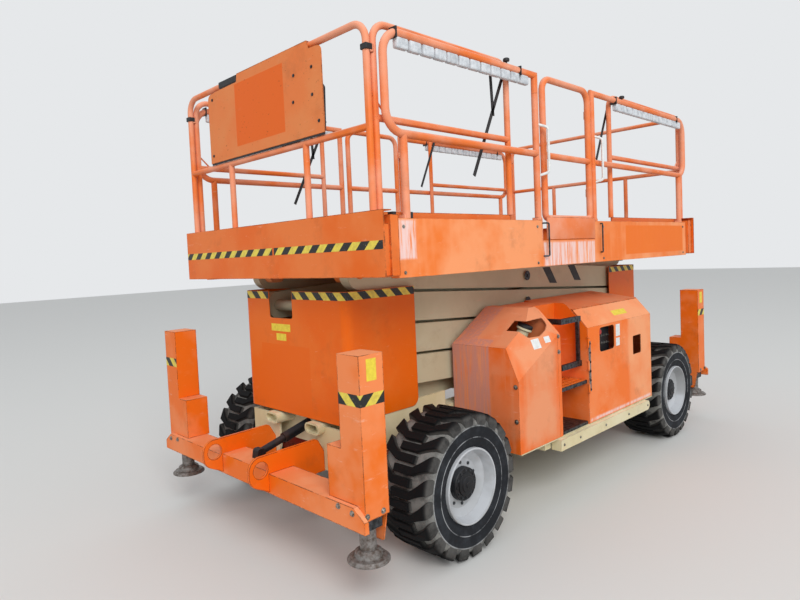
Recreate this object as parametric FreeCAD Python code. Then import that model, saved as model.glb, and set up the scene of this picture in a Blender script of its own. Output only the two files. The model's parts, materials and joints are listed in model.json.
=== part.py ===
"""Rough-terrain scissor lift with four levelling jacks and a two-way extending deck.

Millimetres. +X runs along the machine towards its rear, +Z is up and -Y is the left
side, with the ladder. The origin is on the ground under the middle of the machine.
The front (-X) axle steers. The scissor stack is folded down.
"""
import FreeCAD, Part
import math
import os

V = FreeCAD.Vector
UP = V(0, 0, 1)

# Running fits
PIN_GAP = 0.1             # pin in its bore
OPEN_GAP = 0.6            # the same where the stack closes on itself
SEAT_GAP = 0.3            # curved face resting on another

# Wheels and axles
WHEELBASE = 3106.0
TRACK = 1880.0            # between the middles of the two tyres of an axle
AXLE_X, WHEEL_Y = WHEELBASE / 2, TRACK / 2
TYRE_RADIUS = 440.0       # to the crests of the bars
TYRE_WIDTH = 390.0
AXLE_Z = TYRE_RADIUS
BAR_HEIGHT = 32.0         # of a tread bar over the carcass
BAR_COUNT = 20            # bars on each half of the tread
BAR_TURN = 7.0            # degrees that a bar takes round the tyre
BAR_TAPER = 0.5           # degrees that a bar's crest is narrower on each edge
BAR_BEND = 70.0           # a bar runs straight across this far beyond the middle
RIM_RADIUS = 228.5
RIM_WALL = 12.0
RIM_INSET = 6.0           # rim flange inside the tyre's side
DISC_RECESS = 96.0        # wheel disc behind the outer flange
HUB_RADIUS = 100.0
SPINDLE_RADIUS = 45.0
SPINDLE_END = WHEEL_Y + TYRE_WIDTH / 2 - RIM_INSET - DISC_RECESS + 19
AXLE_RADIUS = 85.0
DIFF_RADIUS = 165.0
KINGPIN_Y = WHEEL_Y - 130
KINGPIN_RADIUS = 25.0
KNUCKLE_HALF = 90.0       # half height of the knuckle between the fork's ears
FORK_EAR = 35.0

# Scissor arms, counted outwards from the middle of the machine
LEVELS = 4
ARM_DEPTH = 195.0
INNER_IN = 360.0
INNER_OUT = INNER_IN + 75
OUTER_IN = INNER_OUT + 23
OUTER_OUT = OUTER_IN + 77
PIN_RADIUS = 30.0
PIN_END = OUTER_OUT + 13
CROSS_RADIUS = 38.0
ROLLER_RADIUS = 55.0
ROLLER_WIDTH = 55.0

# Chassis
CHASSIS_HALF = AXLE_X + 432
RAIL_IN, RAIL_OUT = INNER_OUT + 5, OUTER_OUT + 20
RAIL_LOW = AXLE_Z + 140
RAIL_TOP = RAIL_LOW + 175
SILL_LOW, SILL_TOP = RAIL_LOW - 168, RAIL_LOW - 100   # beams under the side trays
END_MEMBER = CHASSIS_HALF - 85   # outer face of the cross members at the ends
TRACK_START = 420.0       # roller tracks reach this far in front of the middle

# Places of the stack's pins
PIN_X = CHASSIS_HALF - 135       # the pinned ends stand at -PIN_X
BASE_PIN_Z = RAIL_TOP + 110
ARM_SPAN = 2 * PIN_X      # between the end pins of one arm
LEVEL_RISE = ARM_DEPTH + 20      # height of one folded level
TOP_PIN_Z = BASE_PIN_Z + LEVEL_RISE * LEVELS

# Lift cylinders
CYL_Y = 170.0
CYL_BASE_X = PIN_X - 100
CYL_BASE_Z = RAIL_TOP + 10
CYL_EYE_BACK = 110.0      # rod eye from the middle tube, along the arm
CYL_EYE_DROP = 75.0       # and below the arm's middle line
BARREL_RADIUS = 65.0
ROD_SHOWN = 283.0         # rod out of the barrel when folded, to the eye's middle
ROD_RADIUS = 34.0
EYE_RADIUS = 52.0
EYE_WIDTH = 70.0
EYE_PIN = 25.0
LUG_PLATE = 14.0

# Side bodies, set by the tyres that they stand between
BODY_OUT = WHEEL_Y + TYRE_WIDTH / 2 - 15
BODY_HALF = AXLE_X - TYRE_RADIUS - 83
BODY_LOW = RAIL_LOW - 92
BODY_TOP = BODY_LOW + 927
SHEET = 5.0
NICHE_X0 = -BODY_HALF + 500
NICHE_X1 = NICHE_X0 + 430
NICHE_BACK = BODY_OUT - 270
CHEEK_FLANGE = 40.0       # folded edge round the niche's front cheek
SHOULDER_Z = BODY_LOW + 732      # where the body side turns in
EAVE_Y, EAVE_Z = BODY_OUT - 120, SHOULDER_Z + 135
DOOR_AXIS_X, DOOR_AXIS_Y = NICHE_X1 - 4, -BODY_OUT - 7
DOOR_HINGES = (SHOULDER_Z - 460, SHOULDER_Z - 285, SHOULDER_Z - 110)
HINGE_HALF, HINGE_TAB = 30.0, 8.0
HINGE_PIN, HINGE_EYE = 4.0, 7.0

# Levelling jacks and their end frames
LEG_X_IN = AXLE_X + TYRE_RADIUS + 229
LEG_X_OUT = LEG_X_IN + 168
LEG_Y_OUT = BODY_OUT - 14
LEG_Y_IN = LEG_Y_OUT - 170
LEG_X, LEG_Y = (LEG_X_IN + LEG_X_OUT) / 2, (LEG_Y_IN + LEG_Y_OUT) / 2
LEG_WALL = 8.0
BEAM_FRONT, BEAM_BACK = LEG_X_OUT + 30, LEG_X_IN + 18
BEAM_LOW = AXLE_Z + 5
BEAM_TOP = BEAM_LOW + 120
BEAM_TIP = LEG_Y_OUT + 24
LEG_LOW = BEAM_LOW + 50
LEG_TOP = LEG_LOW + 846
SHOULDER_IN = LEG_Y_IN - 116
SHOULDER_TOP = BEAM_TOP + 280
MIDDLE_STEP = 12.0        # the beam's middle part stands this much higher
ARM_Y = 275.0             # middle of the two plates that carry an end frame
ARM_PLATE = 20.0
NOSE_X, NOSE_Z = BEAM_FRONT + 55, BEAM_LOW + 155
NOSE_RADIUS, NOSE_HOLE = 80.0, 50.0
BRACKET_X = CHASSIS_HALF + 15
JACK_RADIUS = 45.0
JACK_TOP = LEG_TOP - 161
PAD_RADIUS = 115.0
PAD_LOW = BEAM_LOW - 195
GUIDE_LOW = BEAM_LOW - 15

# Platform
TOE = 6.0                 # thickness of the deck's side panels
DECK_HALF_X, DECK_HALF_Y = PIN_X + 185, BODY_OUT - 52
FLOOR_TOP = TOP_PIN_Z + 125
FLOOR_LOW = FLOOR_TOP - 12
PANEL_LOW, PANEL_TOP = FLOOR_TOP - 142, FLOOR_TOP + 180
DECK_RIBS = (835 - DECK_HALF_X, -300.0, 600.0, DECK_HALF_X - 735)      # x where each rib starts
GATE_X0, GATE_X1 = -600.0, 165.0
RAIL_TUBE = 50.0
RAIL_Y = DECK_HALF_Y - 22
RAIL_MID, RAIL_TOP_Z = FLOOR_TOP + 640, FLOOR_TOP + 1199
RAIL_BEND = 150.0
GATE_TUBE_X0, GATE_TUBE_X1 = GATE_X0 + 60, GATE_X1 - 10
HINGE_X, HINGE_Y = GATE_X1 - 1.5, RAIL_Y - 33
GATE_HINGES = (FLOOR_TOP + 400, FLOOR_TOP + 1000)

# Platform extensions
EXT_X = DECK_HALF_X + 131
EXT_FLOOR = FLOOR_TOP + 10
EXT_INNER = {"front": 870.0, "rear": 600.0}     # x of each extension's inner end
FASCIA_LOW, FASCIA_TOP, FASCIA_HALF = PANEL_LOW + 11, PANEL_TOP + 44, DECK_HALF_Y + 33
EXT_TOE_Y, EXT_TOE_TOP = DECK_HALF_Y - 73, PANEL_TOP + 40
EXT_TUBE = 40.0
EXT_BEND = 120.0
EXT_RAIL_Y = EXT_TOE_Y - 3
EXT_RAIL_MID, EXT_RAIL_TOP = RAIL_MID + 60, RAIL_TOP_Z + 41
EXT_RING_IN, EXT_RING_OUT = EXT_X - 56, EXT_X - 16    # x of the end rail's tube
EXT_LOOP_X = EXT_RING_IN - 5
EXT_RING_HALF = EXT_RAIL_Y + 18
EXT_END_POSTS = (-EXT_RING_HALF, -450.0, 450.0 - EXT_TUBE, EXT_RING_HALF - EXT_TUBE)    # y where each starts

# Covers over the stack's ends
COVER_X, COVER_Y = CHASSIS_HALF + 20, PIN_END + 24
COVER_LOW, COVER_SIDE_LOW, COVER_TOP = RAIL_TOP + 35, RAIL_TOP + 65, PANEL_LOW - 83
COVER_BACK = COVER_X - 605
COVER_CORNER = 60.0
NOTCH_Y0, NOTCH_Y1, NOTCH_Z = -20.0, 250.0, COVER_TOP - 185
BODY_IN = COVER_Y + 3


# Small helpers

def box(x0, x1, y0, y1, z0, z1):
    """Box between two corners given as ranges."""
    return Part.makeBox(x1 - x0, y1 - y0, z1 - z0, V(x0, y0, z0))


def rod(start, end, radius):
    """Round bar between two points."""
    start, end = V(*start), V(*end)
    return Part.makeCylinder(radius, (end - start).Length, start, end - start)


def outline(corners, place):
    """Closed wire; a corner is (u, v) or (u, v, radius), and place turns u and v into a point."""
    count = len(corners)
    edges, ends = [], []
    for i, corner in enumerate(corners):
        here = place(*corner[:2])
        radius = corner[2] if len(corner) > 2 else 0
        if not radius:
            ends.append((here, here))
            continue
        before = (place(*corners[i - 1][:2]) - here).normalize()
        after = (place(*corners[(i + 1) % count][:2]) - here).normalize()
        half = before.getAngle(after) / 2
        inward = (before + after).normalize()
        reach = radius / math.tan(half)
        middle = here + inward * (radius / math.sin(half) - radius)
        first, last = here + before * reach, here + after * reach
        edges.append(Part.Arc(first, middle, last).toShape())
        ends.append((first, last))
    for i in range(count):
        start, end = ends[i][1], ends[(i + 1) % count][0]
        if (end - start).Length > 1e-6:
            edges.append(Part.LineSegment(start, end).toShape())
    return Part.Wire(Part.__sortEdges__(edges))


PLANES = {                # the plane's point at (u, v, offset)
    "XZ": lambda u, v, offset: V(u, offset, v),
    "YZ": lambda u, v, offset: V(offset, u, v),
    "XY": lambda u, v, offset: V(u, v, offset),
}


def slab(plane, corners, low, high, holes=()):
    """Flat piece with the given outline and holes, between two offsets of its plane."""
    place = PLANES[plane]
    depth = place(0, 0, high) - place(0, 0, low)

    def solid(loop):
        wire = outline(loop, lambda u, v: place(u, v, low))
        return Part.Face(wire).extrude(depth)

    result = solid(corners)
    for hole in holes:
        result = result.cut(solid(hole))
    return result


def rect(u0, u1, v0, v1, radius=0):
    """Corners of a rectangle, rounded if a radius is given."""
    return [(u0, v0, radius), (u1, v0, radius), (u1, v1, radius), (u0, v1, radius)]


def arch(u0, u1, v0, v1, radius):
    """Corners of a rectangle that is square below and rounded above."""
    return [(u0, v0), (u1, v0), (u1, v1, radius), (u0, v1, radius)]


def tube_loop(plane, shape, u0, u1, v0, v1, tube, bend, low, high):
    """Closed loop of square tube; shape is rect or arch, for its corners."""
    return slab(plane, shape(u0, u1, v0, v1, bend), low, high,
                [shape(u0 + tube, u1 - tube, v0 + tube, v1 - tube, bend - tube)])


def across(side, near, far):
    """Range in Y between two distances from the middle plane on one side."""
    return sorted((side * near, side * far))


def fuse(pieces):
    """One solid from pieces that touch or overlap."""
    pieces = list(pieces)
    if len(pieces) == 1:
        return pieces[0]
    return pieces[0].multiFuse(pieces[1:]).removeSplitter()


def group(pieces):
    """Solids that share a node and don't touch."""
    return Part.Compound([solid for piece in pieces for solid in piece.Solids])


def mirror_y(shape):
    return shape.mirror(V(0, 0, 0), V(0, 1, 0))


def mirror_x(shape):
    return shape.mirror(V(0, 0, 0), V(1, 0, 0))


def both_sides(shape):
    """A shape and its mirror image across the machine."""
    return [shape, mirror_y(shape)]


def both_ends(shape):
    """A shape and its mirror image at the other end of the machine."""
    return [shape, mirror_x(shape)]


# Wheels

def on_tyre(radius, degrees, y):
    """Point of a tyre that turns about the Y axis through the origin."""
    turn = math.radians(degrees)
    return V(radius * math.cos(turn), y, radius * math.sin(turn))


def flats(corners):
    """Triangles that fan out from the first of a loop of corners."""
    return [Part.Face(Part.makePolygon([corners[0], b, c, corners[0]]))
            for b, c in zip(corners[1:], corners[2:])]


def tread_middle(bar, pitch):
    """The stretch across the middle, where bars of both sides run straight, for one pitch."""
    base = TYRE_RADIUS - BAR_HEIGHT
    profile = []          # degrees, radius
    for start in (0.0, pitch / 2):
        profile += [(start, base), (start + BAR_TAPER, TYRE_RADIUS),
                    (start + bar - BAR_TAPER, TYRE_RADIUS), (start + bar, base)]
    profile.append((pitch, base))
    return profile


def tread_side(at, bar, pitch):
    """One pitch of a tyre's side: the bar swept over the shoulder, its groove and the wall.

    The other side's bar ends half a pitch on. A corner is at(ring, degrees).
    """
    half, base, sweep = TYRE_WIDTH / 2, TYRE_RADIUS - BAR_HEIGHT, pitch / 2
    floor, crest = (BAR_BEND, base), (BAR_BEND, TYRE_RADIUS)        # y, radius
    shoulder, tip = (half - 20, base - 12), (half - 8, TYRE_RADIUS - 3)
    wall, bead = (half, TYRE_RADIUS - 95), (half - 22, RIM_RADIUS / math.cos(math.radians(sweep / 2)))
    root = [at(floor, d) for d in (0, bar, sweep, sweep + bar, pitch)]
    top = [at(crest, d) for d in (BAR_TAPER, bar - BAR_TAPER)]
    end = [at(crest, d) for d in (sweep + BAR_TAPER, sweep + bar - BAR_TAPER)]
    edge = [at(shoulder, d - sweep) for d in (0, bar, pitch)]
    point = [at(tip, d - sweep) for d in (BAR_TAPER, bar - BAR_TAPER)]
    foot = [at(wall, d - sweep) for d in (0, bar, pitch)]
    seat = [at(bead, d - sweep) for d in (0, sweep, pitch)]
    loops = (
        (root[2], end[0], end[1], root[3]),                # end of the other side's bar
        (top[0], top[1], point[1], point[0]),              # crest
        (root[0], top[0], point[0], edge[0]),              # its two flanks
        (root[1], edge[1], point[1], top[1]),
        (edge[0], point[0], foot[0]),                      # and their lower ends
        (edge[1], foot[1], point[1]),
        (point[0], point[1], foot[1], foot[0]),            # face down the wall
        (edge[1], root[1], root[2]),                       # floor of the groove
        (edge[1], root[2], edge[2]),
        (edge[2], root[2], root[3], root[4]),
        (edge[1], edge[2], foot[2], foot[1]),              # shoulder between two bars
        (foot[0], foot[1], seat[1], seat[0]),              # wall down to the bead
        (foot[1], foot[2], seat[2], seat[1]),
    )
    return [flat for loop in loops for flat in flats(loop)], bead


def tyre():
    """Lugged tyre: straight bars from both sides pass each other, then sweep over the shoulders."""
    pitch = 360.0 / BAR_COUNT
    faces = []
    for i in range(BAR_COUNT):
        for side, turned in ((1, pitch * i), (-1, pitch * (i + 0.5))):
            skin, bead = tread_side(lambda ring, degrees: on_tyre(ring[1], turned + degrees, side * ring[0]),
                                    BAR_TURN, pitch)
            faces += skin
        profile = tread_middle(BAR_TURN, pitch)
        for (d0, r0), (d1, r1) in zip(profile, profile[1:]):
            faces += flats([on_tyre(r0, pitch * i + d0, -BAR_BEND), on_tyre(r1, pitch * i + d1, -BAR_BEND),
                            on_tyre(r1, pitch * i + d1, BAR_BEND), on_tyre(r0, pitch * i + d0, BAR_BEND)])
        for start in (pitch * i, pitch * (i + 0.5)):
            faces += flats([on_tyre(bead[1], start, -bead[0]), on_tyre(bead[1], start + pitch / 2, -bead[0]),
                            on_tyre(bead[1], start + pitch / 2, bead[0]), on_tyre(bead[1], start, bead[0])])
    shell = Part.Shell(faces)
    shell.sewShape()
    solid = Part.Solid(shell)
    if solid.Volume < 0:
        solid.reverse()
    return solid.removeSplitter()


def rim(side):
    """Deep-dished steel wheel with its hub; side is the way it faces."""
    half = TYRE_WIDTH / 2 - RIM_INSET
    flange, well = RIM_RADIUS - SEAT_GAP, RIM_RADIUS - 22
    disc = half - DISC_RECESS
    section = (           # y, radius
        (-half, flange - RIM_WALL), (-half, flange), (half, flange), (half, flange - RIM_WALL),
        (disc + 30, well - 8), (disc + 5, 150.0), (disc + 5, HUB_RADIUS), (disc + 42, HUB_RADIUS - 4),
        (disc + 42, 30.0), (disc + 20, 30.0), (disc + 20, SPINDLE_RADIUS + PIN_GAP),
        (disc - 95, SPINDLE_RADIUS + PIN_GAP), (disc - 95, 80.0), (disc - 8, 95.0),
        (disc + 10, well - 22), (-half, well - 6),
    )
    loop = [V(0, side * y, radius) for y, radius in section]
    face = Part.Face(Part.makePolygon(loop + loop[:1]))
    return face.revolve(V(0, 0, 0), V(0, 1, 0), 360)


def wheel_places():
    """Name, x, y and facing side of the four wheels."""
    for end, x in (("front", -AXLE_X), ("rear", AXLE_X)):
        for name, side in (("left", -1), ("right", 1)):
            yield end, name, x, side


def front_axle():
    """Steering axle: tube, gear case and a fork with a kingpin at each end."""
    x, z = -AXLE_X, AXLE_Z
    fork_in = KINGPIN_Y - 70
    pieces = [rod((x, -fork_in + 30, z), (x, fork_in - 30, z), AXLE_RADIUS), gear_case(x)]
    ear = KNUCKLE_HALF + FORK_EAR
    for side in (-1, 1):
        root = across(side, fork_in - 50, fork_in)
        pieces.append(box(x - 55, x + 55, root[0], root[1], z - ear, z + ear))
        for low in (z - ear, z + KNUCKLE_HALF):
            pieces.append(slab("XY", [(x - 55, side * (fork_in - 20)), (x + 55, side * (fork_in - 20)),
                                      (x + 40, side * (KINGPIN_Y + 38), 36),
                                      (x - 40, side * (KINGPIN_Y + 38), 36)], low, low + FORK_EAR))
        pieces.append(rod((x, side * KINGPIN_Y, z - ear), (x, side * KINGPIN_Y, z + ear),
                          KINGPIN_RADIUS))
    return fuse(pieces + axle_seats(x))


def gear_case(x):
    """Round differential housing in the middle of an axle."""
    return Part.makeSphere(DIFF_RADIUS, V(x, 0, AXLE_Z))


def axle_seats(x):
    """Pads that bolt an axle up to the chassis rails."""
    middle = (RAIL_IN + RAIL_OUT) / 2
    return [box(x - 90, x + 90, y - 45, y + 45, AXLE_Z, RAIL_LOW) for y in (-middle, middle)]


def rear_axle():
    """Driving axle with a plain spindle at each end."""
    x, z = AXLE_X, AXLE_Z
    pieces = [rod((x, -WHEEL_Y + 165, z), (x, WHEEL_Y - 165, z), AXLE_RADIUS), gear_case(x),
              rod((x, -SPINDLE_END, z), (x, SPINDLE_END, z), SPINDLE_RADIUS)]
    return fuse(pieces + axle_seats(x))


def knuckle(side):
    """Block that turns on the kingpin and carries the wheel's spindle."""
    x, z, play = -AXLE_X, AXLE_Z, 1.0
    ends = across(side, KINGPIN_Y - 45, KINGPIN_Y + 50)
    block = box(x - 55, x + 55, ends[0], ends[1], z - KNUCKLE_HALF + play, z + KNUCKLE_HALF - play)
    spindle = rod((x, side * (KINGPIN_Y + 40), z), (x, side * SPINDLE_END, z), SPINDLE_RADIUS)
    bore = rod((x, side * KINGPIN_Y, z - 200), (x, side * KINGPIN_Y, z + 200),
               KINGPIN_RADIUS + PIN_GAP)
    return fuse([block, spindle]).cut(bore)


# Scissor stack

FOLD = math.asin(LEVEL_RISE / ARM_SPAN)
SLOPE = V(math.cos(FOLD), 0, math.sin(FOLD))
ACROSS = V(-math.sin(FOLD), 0, math.cos(FOLD))


def low_pin(level):
    """Pinned end of an inner arm, level 1 at the bottom."""
    return V(-PIN_X, 0, BASE_PIN_Z + LEVEL_RISE * (level - 1))


def slide_x():
    """Where the sliding ends stand when the stack is folded."""
    return -PIN_X + ARM_SPAN * math.cos(FOLD)


def arm_plate(start, end, y0, y1, bore):
    """One arm with round ends, bored at both ends and in the middle if asked."""
    along = (end - start).normalize()
    upward = V(-along.z, 0, along.x)
    half = ARM_DEPTH / 2
    tips = [start - along * half, end + along * half]
    sides = [start + upward * half, end + upward * half, end - upward * half,
             start - upward * half]
    wire = Part.Wire([
        Part.LineSegment(sides[0], sides[1]).toShape(),
        Part.Arc(sides[1], tips[1], sides[2]).toShape(),
        Part.LineSegment(sides[2], sides[3]).toShape(),
        Part.Arc(sides[3], tips[0], sides[0]).toShape(),
    ])
    face = Part.Face(wire)
    face.translate(V(0, y0, 0))
    arm = face.extrude(V(0, y1 - y0, 0))
    if bore:
        middle = (start + end) * 0.5
        for at, gap in ((start, PIN_GAP), (middle, PIN_GAP), (end, OPEN_GAP)):
            arm = arm.cut(rod((at.x, y0 - 1, at.z), (at.x, y1 + 1, at.z), PIN_RADIUS + gap))
    return arm


def cross_pin(at):
    """Cross tube between the inner arms with a pin out of each end."""
    return [rod((at.x, -INNER_IN, at.z), (at.x, INNER_IN, at.z), CROSS_RADIUS),
            rod((at.x, -PIN_END, at.z), (at.x, PIN_END, at.z), PIN_RADIUS)]


def rod_eye_place():
    """Lift cylinder's rod eye, below and in front of the lowest middle tube."""
    middle = low_pin(1) + SLOPE * (ARM_SPAN / 2)
    return middle - SLOPE * CYL_EYE_BACK - ACROSS * CYL_EYE_DROP


def tapered_lug(at, root, y0, y1, radius):
    """Plate from a round end at one place down to a tube at another."""
    along = (root - at).normalize()
    sideways = V(-along.z, 0, along.x) * radius
    face = Part.Face(Part.Wire([
        Part.LineSegment(at + sideways, root + sideways).toShape(),
        Part.LineSegment(root + sideways, root - sideways).toShape(),
        Part.LineSegment(root - sideways, at - sideways).toShape(),
        Part.Arc(at - sideways, at - along * radius, at + sideways).toShape(),
    ]))
    face.translate(V(0, y0, 0))
    return face.extrude(V(0, y1 - y0, 0))


def eye_lugs(at, root, side):
    """Pair of lugs either side of a cylinder's eye."""
    inner = EYE_WIDTH / 2 + 6
    plates = []
    for y in (side * CYL_Y - inner - LUG_PLATE, side * CYL_Y + inner):
        plates.append(tapered_lug(at, root, y, y + LUG_PLATE, EYE_RADIUS - 10))
    return plates


def inner_frame(level):
    """Inner pair of arms with its cross tubes; the lowest carries the rod eyes' lugs."""
    start = low_pin(level)
    end = start + SLOPE * ARM_SPAN
    middle = (start + end) * 0.5
    pieces = [arm_plate(start, end, INNER_IN, INNER_OUT, False),
              arm_plate(start, end, -INNER_OUT, -INNER_IN, False)]
    for at in (start, middle, end):
        pieces += cross_pin(at)
    for side in (-1, 1):
        if level == 1:
            pieces += eye_lugs(rod_eye_place(), middle, side)
        if level == LEVELS:
            y0 = side * (INNER_OUT + 12)
            pieces.append(rod((end.x, y0, end.z), (end.x, y0 + side * ROLLER_WIDTH, end.z),
                              ROLLER_RADIUS))
    return fuse(pieces)


def outer_frame(level):
    """Outer pair of arms; the lowest pair rolls on the chassis tracks."""
    start = low_pin(level) + UP * LEVEL_RISE
    end = V(slide_x(), 0, start.z - LEVEL_RISE)
    if level > 1:
        return group(both_sides(arm_plate(start, end, OUTER_IN, OUTER_OUT, True)))
    roller_in = INNER_IN + 8
    arms = []
    for side in (-1, 1):
        y0, y1 = across(side, OUTER_IN, OUTER_OUT)
        arm = arm_plate(start, end, y0, y1, True)
        axle = rod((end.x, side * (roller_in + 7), end.z), (end.x, side * OUTER_OUT, end.z), PIN_RADIUS)
        roller = rod((end.x, side * roller_in, end.z),
                     (end.x, side * (roller_in + ROLLER_WIDTH), end.z), ROLLER_RADIUS)
        boss = rod((end.x, y0, end.z), (end.x, y1, end.z), PIN_RADIUS + 10)
        arms.append(fuse([arm, axle, roller, boss]))
    return group(arms)


# Lift cylinders

def cylinder_line():
    """Base pin, rod eye and the unit vector between them when folded."""
    base = V(CYL_BASE_X, 0, CYL_BASE_Z)
    eye = rod_eye_place()
    return base, eye, (eye - base).normalize()


def lift_barrels():
    """Two barrels, each with an eye on the chassis pin and a gland at its mouth."""
    base, eye, along = cylinder_line()
    length = (eye - base).Length - ROD_SHOWN
    bodies = []
    for side in (-1, 1):
        shift = V(0, side * CYL_Y, 0)
        start = base + shift + along * (EYE_RADIUS - 6)
        mouth = base + shift + along * length
        tube = Part.makeCylinder(BARREL_RADIUS, length - EYE_RADIUS + 6, start, along)
        knob = rod((base.x, shift.y - EYE_WIDTH / 2, base.z),
                   (base.x, shift.y + EYE_WIDTH / 2, base.z), EYE_RADIUS)
        gland = Part.makeCylinder(BARREL_RADIUS + 6, 60, mouth - along * 60, along)
        pin_hole = rod((base.x, shift.y - 60, base.z), (base.x, shift.y + 60, base.z),
                       EYE_PIN + PIN_GAP)
        rod_hole = Part.makeCylinder(ROD_RADIUS + PIN_GAP, length - 90,
                                     base + shift + along * 100, along)
        bodies.append(fuse([tube, knob, gland]).cut(pin_hole).cut(rod_hole))
    return group(bodies)


def lift_rods():
    """Two rods with an open eye between the lugs of the lowest inner frame."""
    base, eye, along = cylinder_line()
    inside = 110.0        # the rod's foot from the base pin
    bodies = []
    for side in (-1, 1):
        shift = V(0, side * CYL_Y, 0)
        bar = Part.makeCylinder(ROD_RADIUS, (eye - base).Length - inside - EYE_PIN - 8,
                                base + shift + along * inside, along)
        knob = rod((eye.x, shift.y - EYE_WIDTH / 2, eye.z),
                   (eye.x, shift.y + EYE_WIDTH / 2, eye.z), EYE_RADIUS)
        hole = rod((eye.x, shift.y - 60, eye.z), (eye.x, shift.y + 60, eye.z), EYE_PIN + OPEN_GAP)
        bodies.append(fuse([bar, knob]).cut(hole))
    return group(bodies)


# Chassis

CROSS_MEMBERS = (         # middle x, half length, height
    (-BODY_HALF - 20, 50.0, 110.0),
    (0.0, 60.0, 80.0),
    (BODY_HALF + 20, 50.0, 80.0),
)
SILLS = (410.0 - BODY_HALF, BODY_HALF - 410.0)   # x of the beams that reach out under the trays
COVER_SEATS = (           # x0, x1, top of the blocks between rail and cover
    (-PIN_X - 75, -BODY_HALF - 90, BASE_PIN_Z),
    (COVER_BACK + 20, PIN_X + 75, COVER_SIDE_LOW + 40),
)


def end_mount():
    """Front end of the chassis: plates that take the end frame's arms, and two oval lifting tubes."""
    pieces = [box(-END_MEMBER, -END_MEMBER + 85, -RAIL_IN, RAIL_IN, RAIL_LOW, RAIL_TOP)]
    tube_wall = 12.0
    for side in (-1, 1):
        pieces.append(slab("YZ", [(side * (ARM_Y - 65), BEAM_LOW + 30, 70),
                                  (side * (RAIL_IN + 20), BEAM_LOW + 30),
                                  (side * (RAIL_IN + 20), RAIL_TOP + 5),
                                  (side * (ARM_Y - 65), RAIL_TOP + 5)], -BRACKET_X, -CHASSIS_HALF))
        y0, y1 = across(side, ARM_Y - 120, ARM_Y + 30)
        z0, z1 = RAIL_TOP - 50, RAIL_TOP + 25
        hole = rect(y0 + tube_wall, y1 - tube_wall, z0 + tube_wall, z1 - tube_wall,
                    (z1 - z0) / 2 - tube_wall - 1)
        pieces.append(slab("YZ", rect(y0, y1, z0, z1, (z1 - z0) / 2 - 1), -BRACKET_X - 50,
                           -END_MEMBER + 85, [hole]))
    return pieces


def chassis_frame():
    """Two deep rails, cross members, roller tracks, base-pin lugs and tray beams."""
    pieces = [box(-CHASSIS_HALF, CHASSIS_HALF, y, y + RAIL_OUT - RAIL_IN, RAIL_LOW, RAIL_TOP)
              for y in (-RAIL_OUT, RAIL_IN)]
    for x, half, height in CROSS_MEMBERS:
        pieces.append(box(x - half, x + half, -RAIL_IN, RAIL_IN, RAIL_LOW, RAIL_LOW + height))
    for piece in end_mount():
        pieces += both_ends(piece)
    track_top = BASE_PIN_Z - ROLLER_RADIUS - SEAT_GAP
    track_in = INNER_IN - 4
    for side in (-1, 1):
        y0, y1 = across(side, track_in, RAIL_IN)
        pieces.append(box(-TRACK_START, PIN_X + 110, y0, y1, RAIL_TOP - 60, track_top))
        y0, y1 = across(side, OUTER_IN, OUTER_OUT)
        lug_plate = slab("XZ", [(-PIN_X - 70, RAIL_TOP - 5), (-PIN_X + 90, RAIL_TOP - 5),
                                (-PIN_X + 50, BASE_PIN_Z + 55, 40),
                                (-PIN_X - 50, BASE_PIN_Z + 55, 40)], y0, y1)
        bore = rod((-PIN_X, y0 - 1, BASE_PIN_Z), (-PIN_X, y1 + 1, BASE_PIN_Z),
                   PIN_RADIUS + PIN_GAP)
        pieces.append(lug_plate.cut(bore))
        y0, y1 = across(side, RAIL_OUT, COVER_Y - SHEET)
        for x0, x1, top in COVER_SEATS:
            pieces.append(box(x0, x1, y0, y1, RAIL_LOW + 20, top))
        for x in SILLS:
            y0, y1 = across(side, RAIL_IN, BODY_OUT - 50)
            pieces.append(box(x - 40, x + 40, y0, y1, SILL_LOW, SILL_TOP))
            y0, y1 = across(side, RAIL_IN, RAIL_OUT)
            pieces.append(box(x - 40, x + 40, y0, y1, SILL_TOP, RAIL_LOW))
    base = V(CYL_BASE_X, 0, CYL_BASE_Z)
    root = base + V(95, 0, -60)
    pieces.append(rod((root.x, -track_in, root.z), (root.x, track_in, root.z), 50))
    pieces.append(box(CYL_BASE_X - 20, PIN_X + 110, -track_in, track_in, RAIL_LOW, RAIL_LOW + 45))
    for side in (-1, 1):
        pieces += eye_lugs(base, root, side)
        pieces.append(rod((base.x, side * CYL_Y - 45, base.z), (base.x, side * CYL_Y + 45, base.z),
                          EYE_PIN))
    return fuse(pieces)


# End frames and jacks

def nosed_arm(side):
    """Front plate over the beam, from its towing eye back to the chassis bracket."""
    nose = NOSE_RADIUS - 2
    corners = [(-NOSE_X - NOSE_RADIUS, NOSE_Z + NOSE_RADIUS, nose),
               (-BRACKET_X - 50, NOSE_Z + NOSE_RADIUS + 8, 30),
               (-BRACKET_X, NOSE_Z), (-BRACKET_X, BEAM_LOW + 25), (-BEAM_FRONT, BEAM_LOW + 10),
               (-NOSE_X - NOSE_RADIUS, NOSE_Z - NOSE_RADIUS, nose)]
    y = side * ARM_Y
    plate = slab("XZ", corners, y - ARM_PLATE / 2, y + ARM_PLATE / 2)
    eye = rod((-NOSE_X, y - ARM_PLATE, NOSE_Z), (-NOSE_X, y + ARM_PLATE, NOSE_Z), NOSE_HOLE)
    return plate.cut(eye).cut(beam())


def beam():
    """Front beam from leg to leg."""
    return box(-BEAM_FRONT, -BEAM_BACK, -LEG_Y_IN - 1, LEG_Y_IN + 1, BEAM_LOW, BEAM_TOP)


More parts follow.
